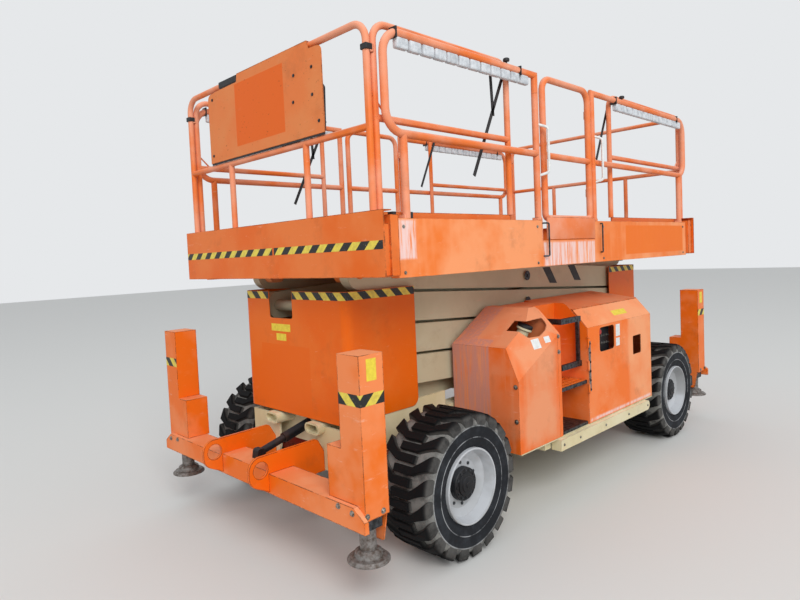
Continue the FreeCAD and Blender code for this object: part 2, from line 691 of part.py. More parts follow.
def jack_leg(side):
    """Hollow upright leg with its shoulder, the beam's front plate and the guard behind the rod."""
    y0, y1 = across(side, LEG_Y_IN, LEG_Y_OUT)
    leg = box(-LEG_X_OUT, -LEG_X_IN, y0, y1, LEG_LOW, LEG_TOP)
    s0, s1 = across(side, SHOULDER_IN, LEG_Y_IN)
    shoulder = box(-LEG_X_OUT, -LEG_X_IN, s0, s1, BEAM_TOP - 1, SHOULDER_TOP)
    tip = slab("YZ", [(side * LEG_Y_IN, BEAM_LOW), (side * BEAM_TIP, BEAM_LOW),
                      (side * BEAM_TIP, LEG_LOW + 13), (side * (LEG_Y_OUT - 56), BEAM_TOP),
                      (side * LEG_Y_IN, BEAM_TOP)], -BEAM_FRONT, -LEG_X_OUT)
    guard = slab("YZ", [(side * (LEG_Y - 61), PAD_LOW + 83, 12), (side * (LEG_Y + 39), PAD_LOW + 83, 12),
                        (side * (LEG_Y + 69), LEG_LOW), (side * (LEG_Y - 71), LEG_LOW)],
                 -LEG_X_IN - 10, -LEG_X_IN)
    hollow = box(-LEG_X_OUT + LEG_WALL, -LEG_X_IN - LEG_WALL, y0 + LEG_WALL, y1 - LEG_WALL,
                 LEG_LOW + LEG_WALL, LEG_TOP - LEG_WALL)
    bore = rod((-LEG_X, side * LEG_Y, LEG_LOW - 1), (-LEG_X, side * LEG_Y, LEG_LOW + 20),
               JACK_RADIUS + SEAT_GAP)
    return [leg, shoulder, tip, guard], [hollow, bore]


def jack_frame():
    """Front end frame: a beam with a raised middle and a hollow leg at each tip."""
    step = ARM_Y - ARM_PLATE / 2
    pieces = [beam(), box(-BEAM_FRONT, -BEAM_BACK, -step, step, BEAM_TOP - 1, BEAM_TOP + MIDDLE_STEP)]
    cuts = []
    for side in (-1, 1):
        solids, holes = jack_leg(side)
        pieces += solids
        cuts += holes
    frame = fuse(pieces)
    for cut in cuts:
        frame = frame.cut(cut)
    return frame


def jack_guides():
    """Steel blocks under the legs that the jack rods slide through."""
    half = 62.0
    blocks = []
    for x in (-LEG_X, LEG_X):
        for y in (-LEG_Y, LEG_Y):
            block = slab("XY", rect(x - half, x + half, y - half, y + half, 20), GUIDE_LOW, LEG_LOW)
            blocks.append(block.cut(rod((x, y, GUIDE_LOW - 1), (x, y, LEG_LOW + 1), JACK_RADIUS + SEAT_GAP)))
    return group(blocks)


def jack(side):
    """Jack rod inside the front leg with its round dished foot."""
    section = (           # radius, height over the foot's underside
        (0, 0), (PAD_RADIUS, 0), (PAD_RADIUS, 8), (PAD_RADIUS - 14, 20), (76, 24), (72, 48),
        (54, 60), (JACK_RADIUS, 60), (JACK_RADIUS, JACK_TOP - PAD_LOW), (0, JACK_TOP - PAD_LOW),
    )
    loop = [V(radius, 0, PAD_LOW + height) for radius, height in section]
    foot = Part.Face(Part.makePolygon(loop + loop[:1])).revolve(V(0, 0, 0), UP, 360)
    return foot.translated(V(-LEG_X, side * LEG_Y, 0))


def beam_cylinder():
    """Black strut from the front beam's middle back to the chassis."""
    foot = BEAM_TOP + MIDDLE_STEP
    start, end = V(-BEAM_BACK - 70, 0, foot + 28), V(-END_MEMBER - 30, 0, RAIL_TOP - 50)
    along = (end - start).normalize()
    reach = (end - start).Length
    bar = Part.makeCylinder(24, reach + 60, start, along)
    sleeve = Part.makeCylinder(34, 250, end - along * 190, along)
    fork = slab("XZ", [(start.x - 30, foot), (start.x + 40, foot), (start.x + 30, foot + 60, 20),
                       (start.x - 20, foot + 60, 20)], -30, 30)
    behind = box(-END_MEMBER, -END_MEMBER + 300, -100, 100, BEAM_LOW, RAIL_TOP + 200)
    return fuse([bar, fork, sleeve]).cut(behind)


# Covers over the stack's ends

def end_cover():
    """Bent sheet round the front of the stack, open behind, notched at the top."""
    def bent(inset, back):
        return [(-back, -COVER_Y + inset), (-back, COVER_Y - inset),
                (-COVER_X + inset, COVER_Y - inset, COVER_CORNER - inset),
                (-COVER_X + inset, -COVER_Y + inset, COVER_CORNER - inset)]

    sheet = slab("XY", bent(0, COVER_BACK), COVER_LOW, COVER_TOP, [bent(SHEET, COVER_BACK - 50)])
    sheet = sheet.cut(slab("YZ", [(NOTCH_Y0, NOTCH_Z, 20), (NOTCH_Y1, NOTCH_Z, 20),
                                  (NOTCH_Y1, COVER_TOP + 9), (NOTCH_Y0, COVER_TOP + 9)],
                           -COVER_X - 9, -COVER_X + 30))
    front, back = -COVER_X + COVER_CORNER, -COVER_BACK
    trim = slab("XZ", [(front, COVER_LOW - 9), (back + 90, COVER_LOW - 9),
                       (back + 90, COVER_SIDE_LOW + 160), (back + 1, COVER_SIDE_LOW + 110),
                       (back + 1, COVER_SIDE_LOW, 60), (front, COVER_SIDE_LOW)],
                -COVER_Y - 9, COVER_Y + 9)
    return sheet.cut(trim)


# Side bodies: tank hood, ladder niche, machinery bay, door

def below(solid, point, normal):
    """Part of a solid on the inner side of a plane."""
    size = 4000.0
    plane = Part.makePlane(size, size, point, normal)
    plane.translate(point - plane.CenterOfMass)
    return solid.cut(plane.extrude(normal * size))


def body_shape(inset):
    """Left tank hood with its sloped front and cut corner, shrunk by an inset."""
    block = box(-BODY_HALF + inset, NICHE_X0 - inset, -BODY_OUT + inset, -BODY_IN - inset,
                BODY_LOW, BODY_TOP - inset)
    planes = (            # point on the plane, outward direction
        (V(-BODY_HALF, 0, SHOULDER_Z - 35), V(-230, 0, 410)),
        (V(-BODY_HALF + 10, -BODY_OUT + 80, SHOULDER_Z - 57), V(-188, -891, 379)),
        (V(0, -BODY_OUT, SHOULDER_Z), V(0, -135, 120)),
    )
    for point, direction in planes:
        normal = direction.normalize()
        block = below(block, point - normal * inset, normal)
    return block


def tank_hood():
    """Left tank hood: thin walls, with a hole for the filler in its cut corner."""
    open_floor = box(-BODY_HALF - 1, NICHE_X0 + 1, -BODY_OUT - 1, -BODY_IN + 1, 0, BODY_LOW - 1)
    shell = body_shape(0).cut(body_shape(SHEET).cut(open_floor))
    hole = slab("XZ", [(NICHE_X0 - 405, EAVE_Z - 22, 18), (NICHE_X0 - 270, EAVE_Z - 126, 40),
                       (NICHE_X0 - 165, EAVE_Z - 126, 40), (NICHE_X0 - 22, EAVE_Z - 60, 24),
                       (NICHE_X0 - 26, EAVE_Z - 16, 12)], -BODY_OUT - 30, -BODY_OUT + 200)
    return shell.cut(hole)


def hinge_pin(x, y, z, tab):
    """Pin between two tabs; tab is their x and y ranges."""
    x0, x1, y0, y1 = tab
    low, high = z - HINGE_HALF - HINGE_TAB, z + HINGE_HALF
    return [rod((x, y, low), (x, y, high + HINGE_TAB), HINGE_PIN),
            box(x0, x1, y0, y1, low, low + HINGE_TAB - 1),
            box(x0, x1, y0, y1, high + 1, high + HINGE_TAB)]


def hinge_eye(x, y, z, leaf):
    """Knuckle that turns on a hinge pin; leaf is its leaf's x and y ranges."""
    x0, x1, y0, y1 = leaf
    low, high = z - HINGE_HALF, z + HINGE_HALF
    body = fuse([rod((x, y, low), (x, y, high), HINGE_EYE), box(x0, x1, y0, y1, low, high)])
    return body.cut(rod((x, y, low - 1), (x, y, high + 1), HINGE_PIN + PIN_GAP))


def niche():
    """Left ladder niche: back wall, two arched cheeks, a top and the door's hinge pins."""
    top = BODY_TOP - 10
    cheek = [(-BODY_OUT, BODY_LOW), (-BODY_IN, BODY_LOW), (-BODY_IN, top),
             (-EAVE_Y + 60, top, 60), (-BODY_OUT, SHOULDER_Z, 60)]
    pieces = [slab("YZ", cheek, x, x + SHEET) for x in (NICHE_X0, NICHE_X1 - SHEET)]
    inside = [(-BODY_OUT + SHEET, BODY_LOW), (-BODY_IN, BODY_LOW), (-BODY_IN, top - SHEET),
              (-EAVE_Y + 60, top - SHEET, 56), (-BODY_OUT + SHEET, SHOULDER_Z - 2, 56)]
    pieces.append(slab("YZ", cheek, NICHE_X0, NICHE_X0 + CHEEK_FLANGE, [inside]))
    pieces.append(box(NICHE_X0, NICHE_X1, -NICHE_BACK, -NICHE_BACK + SHEET, BODY_LOW, top))
    pieces.append(box(NICHE_X0, NICHE_X1, -NICHE_BACK, -BODY_IN, top - SHEET, top))
    for z in DOOR_HINGES:
        tab = (NICHE_X1 - 12, NICHE_X1 - 1, -BODY_OUT - 12, -BODY_OUT + 6)
        pieces += hinge_pin(DOOR_AXIS_X, DOOR_AXIS_Y, z, tab)
    return fuse(pieces)


def bay_shell():
    """Left machinery bay without its door: sloping top, rear end and inner wall."""
    x0, x1 = NICHE_X1, BODY_HALF
    top = slab("YZ", [(-EAVE_Y, EAVE_Z), (-BODY_IN, BODY_TOP - SHEET), (-BODY_IN, BODY_TOP),
                      (-EAVE_Y, EAVE_Z + SHEET)], x0, x1)
    end = slab("YZ", [(-BODY_OUT + 12, BODY_LOW), (-BODY_IN, BODY_LOW), (-BODY_IN, BODY_TOP - 2),
                      (-EAVE_Y, EAVE_Z + 2), (-EAVE_Y + 6, EAVE_Z - 8), (-BODY_OUT + 12, SHOULDER_Z)],
               x1 - SHEET, x1)
    wall = box(x0, x1, -BODY_IN - SHEET, -BODY_IN, BODY_LOW, BODY_TOP - 2)
    return fuse([top, end, wall])


DOOR_X0, DOOR_X1 = NICHE_X1 + 4, BODY_HALF
WINDOWS = (               # x0, x1, z0, z1, corner radius
    (NICHE_X1 + 190, NICHE_X1 + 440, SHOULDER_Z - 210, SHOULDER_Z - 20, 30.0),
    (BODY_HALF - 355, BODY_HALF - 200, SHOULDER_Z - 313, SHOULDER_Z - 156, 12.0),
)


def door():
    """Left bay door: upright sheet with its top edge turned in, two windows."""
    skin = [(-BODY_OUT, BODY_LOW + 2), (-BODY_OUT + SHEET, BODY_LOW + 2),
            (-BODY_OUT + SHEET, SHOULDER_Z - 2), (-EAVE_Y - 2, EAVE_Z - 8),
            (-EAVE_Y - 2, EAVE_Z - 1), (-BODY_OUT, SHOULDER_Z)]
    panel = slab("YZ", skin, DOOR_X0, DOOR_X1)
    for x0, x1, z0, z1, radius in WINDOWS:
        panel = panel.cut(slab("XZ", rect(x0, x1, z0, z1, radius), -BODY_OUT - 5, -BODY_OUT + 15))
    leaf = (DOOR_AXIS_X, DOOR_X0 + 25, -BODY_OUT - 5, -BODY_OUT)
    eyes = [hinge_eye(DOOR_AXIS_X, DOOR_AXIS_Y, z, leaf) for z in DOOR_HINGES]
    return fuse([panel] + eyes)


def side_tray():
    """Left tray under the side body with its bumper tube, round at the rear end."""
    plate = box(-BODY_HALF + 10, BODY_HALF, -BODY_OUT, -BODY_IN, SILL_TOP, BODY_LOW)
    x0, x1, low = -BODY_HALF + 460, BODY_HALF - 120, SILL_TOP - 80
    tube = slab("XZ", [(x0, low), (x1, low, 39), (x1, SILL_TOP, 39), (x0, SILL_TOP)],
                -BODY_OUT - 30, -BODY_OUT + 50)
    return fuse([plate, tube])


def ladder():
    """Left grab bars and two steps in the niche."""
    x0, x1 = NICHE_X0 + SHEET, NICHE_X1 - SHEET
    step_out = BODY_OUT - 10
    low_step = box(x0, x1, -step_out, -NICHE_BACK, BODY_LOW, BODY_LOW + 22)
    high_step = box(x0, x1, -step_out, -NICHE_BACK, BODY_LOW + 312, BODY_LOW + 337)
    bar_out, bar_in = BODY_OUT - 48, BODY_OUT - 72
    tip = NICHE_X0 + 142
    rails = []
    for low in (SHOULDER_Z - 287, SHOULDER_Z + 52):
        rails.append(box(tip, x1, -bar_out, -bar_in, low, low + 40))
        rails.append(box(tip, tip + 24, -bar_out, -NICHE_BACK, low, low + 40))
    upright = NICHE_X1 - 50
    rails.append(box(upright, upright + 24, -bar_out, -bar_in, SHOULDER_Z - 287, SHOULDER_Z + 92))
    return group([low_step, high_step, fuse(rails)])


def engine():
    """Engine as a plain block on the right tray."""
    return box(NICHE_X1 + 180, BODY_HALF - 130, BODY_IN + 65, BODY_OUT - 110, BODY_LOW, SHOULDER_Z - 20)


def ground_controls():
    """Control box on a post behind the left door's first window."""
    x0, x1, y0 = NICHE_X1 + 170, NICHE_X1 + 460, -BODY_OUT + 60
    low, high = SHOULDER_Z - 235, SHOULDER_Z + 5
    case = box(x0, x1, y0, y0 + 160, low, high)
    post = box(x0 + 100, x0 + 180, y0 + 60, y0 + 120, BODY_LOW, low)
    button = rod((x0 + 80, y0, high - 65), (x0 + 80, y0 - 24, high - 65), 22)
    return fuse([case, post, button])


def filler():
    """Tank and its filler neck with a cap, seen through the hood's hole."""
    top = SHOULDER_Z - 90
    tank = box(-BODY_HALF + 50, NICHE_X0 - 30, -BODY_OUT + 120, -BODY_IN - 25, BODY_LOW, top)
    foot, mouth = V(NICHE_X0 - 190, -EAVE_Y + 105, top - 10), V(NICHE_X0 - 150, -EAVE_Y + 50, EAVE_Z - 75)
    neck = Part.makeCylinder(42, (mouth - foot).Length, foot, mouth - foot)
    flange = Part.makeCylinder(56, 14, mouth - (mouth - foot).normalize() * 14, mouth - foot)
    return fuse([tank, neck, flange])


# Platform

def deck():
    """Main deck: floor, side panels, roller rails and the lugs on the top pins."""
    pieces = [box(-DECK_HALF_X, DECK_HALF_X, -DECK_HALF_Y + TOE, DECK_HALF_Y - TOE,
                  FLOOR_LOW, FLOOR_TOP)]
    sides = (             # x0, x1, top of a side panel
        (-DECK_HALF_X, GATE_X0, PANEL_TOP), (GATE_X0, GATE_X1, FLOOR_TOP + 40),
        (GATE_X1, DECK_HALF_X, PANEL_TOP),
    )
    track_in, track_out = INNER_OUT + 10, INNER_OUT + 77
    for side in (-1, 1):
        y0, y1 = across(side, DECK_HALF_Y - TOE, DECK_HALF_Y)
        for x0, x1, top in sides:
            pieces.append(box(x0, x1, y0, y1, PANEL_LOW, top))
        y0, y1 = across(side, DECK_HALF_Y - 60, DECK_HALF_Y - TOE)
        pieces.append(box(-DECK_HALF_X, DECK_HALF_X, y0, y1, PANEL_LOW, PANEL_LOW + TOE))
        y0, y1 = across(side, track_in, track_out)
        pieces.append(box(-TRACK_START, DECK_HALF_X - 45, y0, y1, TOP_PIN_Z + ROLLER_RADIUS + SEAT_GAP,
                          FLOOR_LOW))
        y0, y1 = across(side, INNER_IN, INNER_OUT)
        pieces.append(slab("XZ", [(-PIN_X - 90, FLOOR_LOW), (-PIN_X + 90, FLOOR_LOW),
                                  (-PIN_X + 50, TOP_PIN_Z - 50, 40),
                                  (-PIN_X - 50, TOP_PIN_Z - 50, 40)], y0, y1))
        pieces.append(rod((-PIN_X, side * INNER_IN, TOP_PIN_Z), (-PIN_X, side * PIN_END, TOP_PIN_Z),
                          PIN_RADIUS))
        y0, y1 = across(side, track_out, DECK_HALF_Y - TOE)
        for x in DECK_RIBS:
            pieces.append(box(x, x + 60, y0, y1, FLOOR_LOW - 48, FLOOR_LOW))
    for x in (-DECK_HALF_X, DECK_HALF_X - 60):
        pieces.append(box(x, x + 60, -DECK_HALF_Y + TOE, DECK_HALF_Y - TOE, PANEL_LOW + TOE, FLOOR_LOW))
    return fuse(pieces)


LOOPS = (                 # x0, x1 of a loop, middles of its posts, x0 of the upright by the gate
    (-DECK_HALF_X - 54, GATE_X0 + 15, (-DECK_HALF_X + 100, GATE_X0 - 10), GATE_X0 - 35),
    (GATE_X1 + 7, DECK_HALF_X + 45, (GATE_X1 + 32, DECK_HALF_X - 105), GATE_X1 + 7),
)


def deck_rails():
    """Main side rails: a closed loop of tube on two posts, four times."""
    half = RAIL_TUBE / 2
    sides = []
    for side in (-1, 1):
        y0, y1 = across(side, RAIL_Y - half, RAIL_Y + half)
        s0, s1 = across(side, RAIL_Y - half - 4, DECK_HALF_Y - TOE)
        t0, t1 = across(side, HINGE_Y - 7, RAIL_Y - half + 8)
        for x0, x1, posts, upright in LOOPS:
            pieces = [tube_loop("XZ", rect, x0, x1, RAIL_MID - half, RAIL_TOP_Z, RAIL_TUBE, RAIL_BEND, y0, y1),
                      box(upright, upright + RAIL_TUBE, y0, y1, PANEL_TOP, RAIL_TOP_Z - RAIL_BEND)]
            for middle in posts:
                pieces.append(box(middle - half, middle + half, y0, y1, PANEL_TOP, RAIL_MID + half - 1))
                pieces.append(box(middle - half - 6, middle + half + 6, s0, s1, FLOOR_TOP, PANEL_TOP + 20))
            if upright > 0:
                for z in GATE_HINGES:
                    pieces += hinge_pin(HINGE_X, side * HINGE_Y, z, (HINGE_X - 7, x0 + 8, t0, t1))
            sides.append(fuse(pieces))
    return group(sides)


def gate():
    """Left gate: loop with a middle rail, and a toe panel."""
    half = RAIL_TUBE / 2
    x0, x1 = GATE_TUBE_X0, GATE_TUBE_X1
    y0, y1 = -RAIL_Y - half, -RAIL_Y + half
    pieces = [tube_loop("XZ", rect, x0, x1, PANEL_TOP - 8, RAIL_TOP_Z, RAIL_TUBE, 60, y0, y1),
              box(x0 + 10, x1 - 10, y0, y1, RAIL_MID - half, RAIL_MID + half),
              box(x0, x1, y0 - 4, y0 + 4, FLOOR_TOP + 46, PANEL_TOP + 22)]
    leaf = (x1 - 5, HINGE_X, y1 - 5, -HINGE_Y)
    pieces += [hinge_eye(HINGE_X, -HINGE_Y, z, leaf) for z in GATE_HINGES]
    return fuse(pieces)


def at_end(shape, end):
    """A piece drawn for the front end, turned to the rear if asked."""
    return shape if end == "front" else mirror_x(shape)


def ext_deck(end):
    """Extension deck: floor, toe boards, slide rails, corner posts and end fascia."""
    inner = -EXT_INNER[end]
    pieces = [box(-EXT_X, inner, -EXT_TOE_Y, EXT_TOE_Y, EXT_FLOOR, EXT_FLOOR + 12),
              box(-EXT_X, -EXT_X + TOE, -FASCIA_HALF, FASCIA_HALF, FASCIA_LOW, FASCIA_TOP),
              box(-EXT_X, -EXT_X + 60, -FASCIA_HALF, FASCIA_HALF, FASCIA_LOW, FASCIA_LOW + TOE),
              box(-EXT_X, -EXT_X + 60, -FASCIA_HALF, FASCIA_HALF, FASCIA_TOP - TOE, FASCIA_TOP)]
    post_out, post_in = -DECK_HALF_X - 73, -DECK_HALF_X - 11
    for side in (-1, 1):
        y0, y1 = across(side, EXT_TOE_Y - TOE, EXT_TOE_Y)
        pieces.append(box(-EXT_X, inner, y0, y1, EXT_FLOOR, EXT_TOE_TOP))
        y0, y1 = across(side, EXT_TOE_Y - 95, EXT_TOE_Y - 45)
        pieces.append(box(-DECK_HALF_X + 15, inner, y0, y1, FLOOR_TOP + SEAT_GAP, EXT_FLOOR))
        y0, y1 = across(side, DECK_HALF_Y - 48, DECK_HALF_Y + 22)
        pieces.append(box(post_out, post_in, y0, y1, FASCIA_LOW + 5, PANEL_TOP + 18))
        y0, y1 = across(side, DECK_HALF_Y - 28, DECK_HALF_Y + 12)
        pieces.append(box(-EXT_X, post_out + 8, y0, y1, FASCIA_LOW + 5, PANEL_TOP - 30))
    return at_end(fuse(pieces), end)


def ext_rails(end):
    """Rails of an extension: two side loops and the end loop, square below and bent above."""
    inner = 20 - EXT_INNER[end]
    half = EXT_TUBE / 2
    low = EXT_RAIL_MID - half
    pieces = [tube_loop("YZ", arch, -EXT_RING_HALF, EXT_RING_HALF, low, EXT_RAIL_TOP, EXT_TUBE, EXT_BEND,
                        -EXT_RING_OUT, -EXT_RING_IN)]
    clamp = EXT_RAIL_TOP - EXT_BEND - 65
    for side in (-1, 1):
        y0, y1 = across(side, EXT_RAIL_Y - half, EXT_RAIL_Y + half)
        pieces.append(tube_loop("XZ", arch, -EXT_LOOP_X, inner, low, EXT_RAIL_TOP, EXT_TUBE, EXT_BEND,
                                y0, y1))
        pieces.append(box(-EXT_RING_OUT + 25, -EXT_LOOP_X + 10, y0, y1, clamp, clamp + 40))
    return at_end(fuse(pieces), end)


def ext_posts(end):
    """Short posts of an extension's rails on its toe boards and fascia."""
    inner = 20 - EXT_INNER[end]
    half = EXT_TUBE / 2
    low = EXT_RAIL_MID - half
    posts = [box(-EXT_RING_OUT, -EXT_RING_IN, y, y + EXT_TUBE, FASCIA_TOP, low) for y in EXT_END_POSTS]
    for side in (-1, 1):
        y0, y1 = across(side, EXT_RAIL_Y - half, EXT_RAIL_Y + half)
        for x in (-EXT_LOOP_X, inner - EXT_TUBE):
            posts.append(box(x, x + EXT_TUBE, y0, y1, EXT_TOE_TOP, low))
    return at_end(group(posts), end)


BOARD_Y0, BOARD_Y1 = -645.0, 665.0


def control_panel():
    """Board on the front end rail with cut upper corners, its top folded over the rail."""
    low, high, cut = EXT_RAIL_MID + 25, EXT_RAIL_TOP, 80.0
    front = -EXT_RING_OUT - 6
    board = slab("YZ", [(BOARD_Y0, low), (BOARD_Y1, low), (BOARD_Y1, high - cut, 25),
                        (BOARD_Y1 - 110, high), (BOARD_Y0 + 80, high), (BOARD_Y0, high - cut, 25)],
                 front, front + SHEET)
    fold = box(front, -EXT_RING_IN, BOARD_Y0 + 80, BOARD_Y1 - 110, high, high + 4)
    return fuse([board, fold])


def control_box():
    """Platform control box behind the board's left end, on a plate against the end rail."""
    y0, y1 = BOARD_Y0 - 17, BOARD_Y0 + 290
    low, high = EXT_RAIL_MID + 60, EXT_RAIL_TOP - 110
    case = slab("XZ", [(-EXT_RING_IN + 4, low), (-EXT_RING_IN + 90, low), (-EXT_RING_IN + 130, high - 90),
                       (-EXT_RING_IN + 60, high, 20), (-EXT_RING_IN + 4, high, 12)], y0, y1)
    plate = box(-EXT_RING_IN, -EXT_RING_IN + 5, y0 + 60, y1 - 60, EXT_RAIL_MID - 15, high - 40)
    return fuse([case, plate])


# Build and write every node

def build():
    """All nodes by name."""
    nodes = {"chassis_frame": chassis_frame(), "front_axle": front_axle(),
             "rear_axle": rear_axle()}
    rubber, wheels = tyre(), {side: rim(side) for side in (-1, 1)}
    for end, name, x, side in wheel_places():
        place = V(x, side * WHEEL_Y, AXLE_Z)
        nodes[f"tyre_{end}_{name}"] = rubber.translated(place)
        nodes[f"rim_{end}_{name}"] = wheels[side].translated(place)
    nodes["knuckle_left"], nodes["knuckle_right"] = knuckle(-1), knuckle(1)
    frame = jack_frame()
    nodes["jack_frame_front"], nodes["jack_frame_rear"] = frame, mirror_x(frame)
    nodes["frame_arms"] = group(both_ends(group(nosed_arm(side) for side in (-1, 1))))
    nodes["jack_guides"] = jack_guides()
    nodes["beam_cylinders"] = group(both_ends(beam_cylinder()))
    for name, side in (("left", -1), ("right", 1)):
        foot = jack(side)
        nodes[f"jack_front_{name}"], nodes[f"jack_rear_{name}"] = foot, mirror_x(foot)
    nodes["end_covers"] = group(both_ends(end_cover()))
    nodes["tank_hoods"] = group(both_sides(tank_hood()))
    nodes["ladder_niches"] = group(both_sides(niche()))
    nodes["bay_shells"] = group(both_sides(bay_shell()))
    nodes["side_trays"] = group(both_sides(side_tray()))
    nodes["ladders"] = group(both_sides(ladder()))
    nodes["door_left"] = door()
    nodes["door_right"] = mirror_y(door())
    nodes["engine"] = engine()
    nodes["ground_controls"] = ground_controls()
    nodes["tank_filler"] = filler()
    for level in range(1, LEVELS + 1):
        nodes[f"inner_arms_{level}"] = inner_frame(level)
        nodes[f"outer_arms_{level}"] = outer_frame(level)
    nodes["lift_barrels"], nodes["lift_rods"] = lift_barrels(), lift_rods()
    nodes["deck"], nodes["deck_rails"] = deck(), deck_rails()
    nodes["gate_left"], nodes["gate_right"] = gate(), mirror_y(gate())
    for end in ("front", "rear"):
        nodes[f"extension_deck_{end}"] = ext_deck(end)
        nodes[f"extension_rails_{end}"] = ext_rails(end)
        nodes[f"extension_posts_{end}"] = ext_posts(end)
    nodes["control_panel"], nodes["control_box"] = control_panel(), control_box()
    return nodes


os.makedirs("parts", exist_ok=True)
for node_name, node_shape in build().items():
    node_shape.exportStep(f"parts/{node_name}.step")
    print(f"{node_name:24s} solids {len(node_shape.Solids)}  valid {node_shape.isValid()}"
          f"  litres {node_shape.Volume / 1e6:8.2f}")
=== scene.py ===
# %% [markdown]
# A rough-terrain scissor lift, dressed for its picture.
# The frame gives every load-bearing piece at its real size: arms, rails, wheels, covers and doors.
# This file gives them their finishes and adds the small things that a maker would bolt on last.
# Everything is in metres: +X runs to the machine's rear, -Y is the side with the ladder, +Z is up.

# %% Load the frame
import json
import math
from functools import partial
import bmesh
import bpy
from mathutils import Matrix, Vector
from mathutils.bvhtree import BVHTree


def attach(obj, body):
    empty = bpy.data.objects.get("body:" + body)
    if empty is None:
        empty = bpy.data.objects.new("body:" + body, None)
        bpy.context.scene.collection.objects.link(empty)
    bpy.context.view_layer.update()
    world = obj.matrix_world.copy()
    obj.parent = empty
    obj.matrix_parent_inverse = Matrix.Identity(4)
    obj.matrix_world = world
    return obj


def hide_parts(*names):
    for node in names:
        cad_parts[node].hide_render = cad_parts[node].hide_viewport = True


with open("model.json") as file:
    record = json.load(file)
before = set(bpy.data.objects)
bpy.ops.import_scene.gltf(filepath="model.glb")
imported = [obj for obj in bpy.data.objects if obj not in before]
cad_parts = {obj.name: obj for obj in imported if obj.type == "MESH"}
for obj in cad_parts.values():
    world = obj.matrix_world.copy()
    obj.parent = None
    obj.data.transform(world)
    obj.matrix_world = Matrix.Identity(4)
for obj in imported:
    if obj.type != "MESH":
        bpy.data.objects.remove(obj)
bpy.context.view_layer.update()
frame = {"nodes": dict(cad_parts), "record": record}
NODES = frame["nodes"]
BODY_OF = {node: body for body, group in frame["record"]["behaviour"]["bodies"].items() for node in group}
SIDES = ((-1, "left"), (1, "right"))
ENDS = ((-1, "front"), (1, "rear"))

# %% [markdown]
# The camera stands where the photographer stood: at head height, off the front left corner.
# Its place and its three turns were worked out from the machine's own straight edges.
# The small shift stands for a picture that was cropped a little off its middle.

# %% Camera
EYE = Vector((-4.361, -3.367, 1.830))
YAW, PITCH, ROLL = math.radians(46.476), math.radians(-3.066), math.radians(-2.618)
FOCAL_PX = 609.09             # focal length in picture pixels
PICTURE = (800.0, 600.0)
CENTRE_PX = (380.58, 289.03)  # where the lens's axis meets the picture

forward = Vector((math.cos(YAW) * math.cos(PITCH), math.sin(YAW) * math.cos(PITCH), math.sin(PITCH)))
level_right = Vector((math.sin(YAW), -math.cos(YAW), 0.0))
level_up = level_right.cross(forward)
right = math.cos(ROLL) * level_right + math.sin(ROLL) * level_up
up = -math.sin(ROLL) * level_right + math.cos(ROLL) * level_up

lens = bpy.data.cameras.new("picture_camera")
lens.sensor_width = 36.0
lens.lens = FOCAL_PX / PICTURE[0] * lens.sensor_width
lens.shift_x = (PICTURE[0] / 2 - CENTRE_PX[0]) / PICTURE[0]
lens.shift_y = (CENTRE_PX[1] - PICTURE[1] / 2) / PICTURE[0]
lens.clip_end = 100.0
camera = bpy.data.objects.new("picture_camera", lens)
camera.matrix_world = Matrix.Translation(EYE) @ Matrix((right, up, -forward)).transposed().to_4x4()
bpy.context.scene.collection.objects.link(camera)
bpy.context.scene.camera = camera
print("lens", round(lens.lens, 2), "mm, shift", round(lens.shift_x, 4), round(lens.shift_y, 4))

# %% [markdown]
# Every finish and every pattern below is a net of nodes, and one function adds each of them. Its first
# word is the node's kind, with the choice from the node's own menu after it, as in "Math ADD". Values
# go to the inputs in use, from the top, and a value may be another node's output.

# %% One function that adds a node
MENUS = {"Math": "operation", "VectorMath": "operation", "Mix": "data_type", "MapRange": "interpolation_type"}
PLUS, MINUS, TIMES, OVER = "Math ADD", "Math SUBTRACT", "Math MULTIPLY", "Math DIVIDE"
NOISE = "TexNoise"              # place, features per metre, detail, roughness
STEP = "MapRange SMOOTHSTEP"    # value, from, to, and what it becomes there
MIX = "Mix RGBA"                # factor and two colours


def linear(text):
    """Linear colour with alpha from an sRGB hex text."""
    values = [int(text[i:i + 2], 16) / 255 for i in (0, 2, 4)]
    return [v / 12.92 if v <= 0.04045 else ((v + 0.055) / 1.055) ** 2.4 for v in values] + [1.0]


def add(tree, kind, *values, out=None, **named):
    """Add a node and give one of its outputs; small names are settings, the others are inputs."""
    kind, _, choice = kind.partition(" ")
    made = tree.nodes.new(kind if "Node" in kind else "ShaderNode" + kind)
    if choice:
        setattr(made, MENUS[kind], choice)
    for name in [name for name in named if name.islower()]:
        setattr(made, name, named.pop(name))
    pairs = list(zip([socket for socket in made.inputs if socket.enabled], values))
    for socket, value in pairs + [(made.inputs[name.replace("_", " ")], v) for name, v in named.items()]:
        if isinstance(value, bpy.types.NodeSocket):
            tree.links.new(value, socket)
        else:
            socket.default_value = linear(value) if socket.type == "RGBA" else value
    return made.outputs[out] if out else next((s for s in made.outputs if s.enabled), None)


def new_material(name):
    """Empty material, and the function that adds its nodes."""
    material = bpy.data.materials.new(name)
    material.use_nodes = True
    material.node_tree.nodes.clear()
    return material, partial(add, material.node_tree)


# %% [markdown]
# A plain pale floor catches the shadow, and one large soft lamp high on the ladder's side stands for
# the overcast sky of a yard. The rest of the light comes evenly from all round, so colours look
# about as they are written here. The camera and shiny metal see a pale backdrop instead.

# %% Floor, lamps and background
FLOOR_HALF = 40.0
SKY_STRENGTH = 0.72
KEY_PLACE, KEY_AIM = Vector((-11.2, -16.4, 14.6)), Vector((0, 0, 1.2))
KEY_SIZE, KEY_WATTS = 12.0, 3250.0

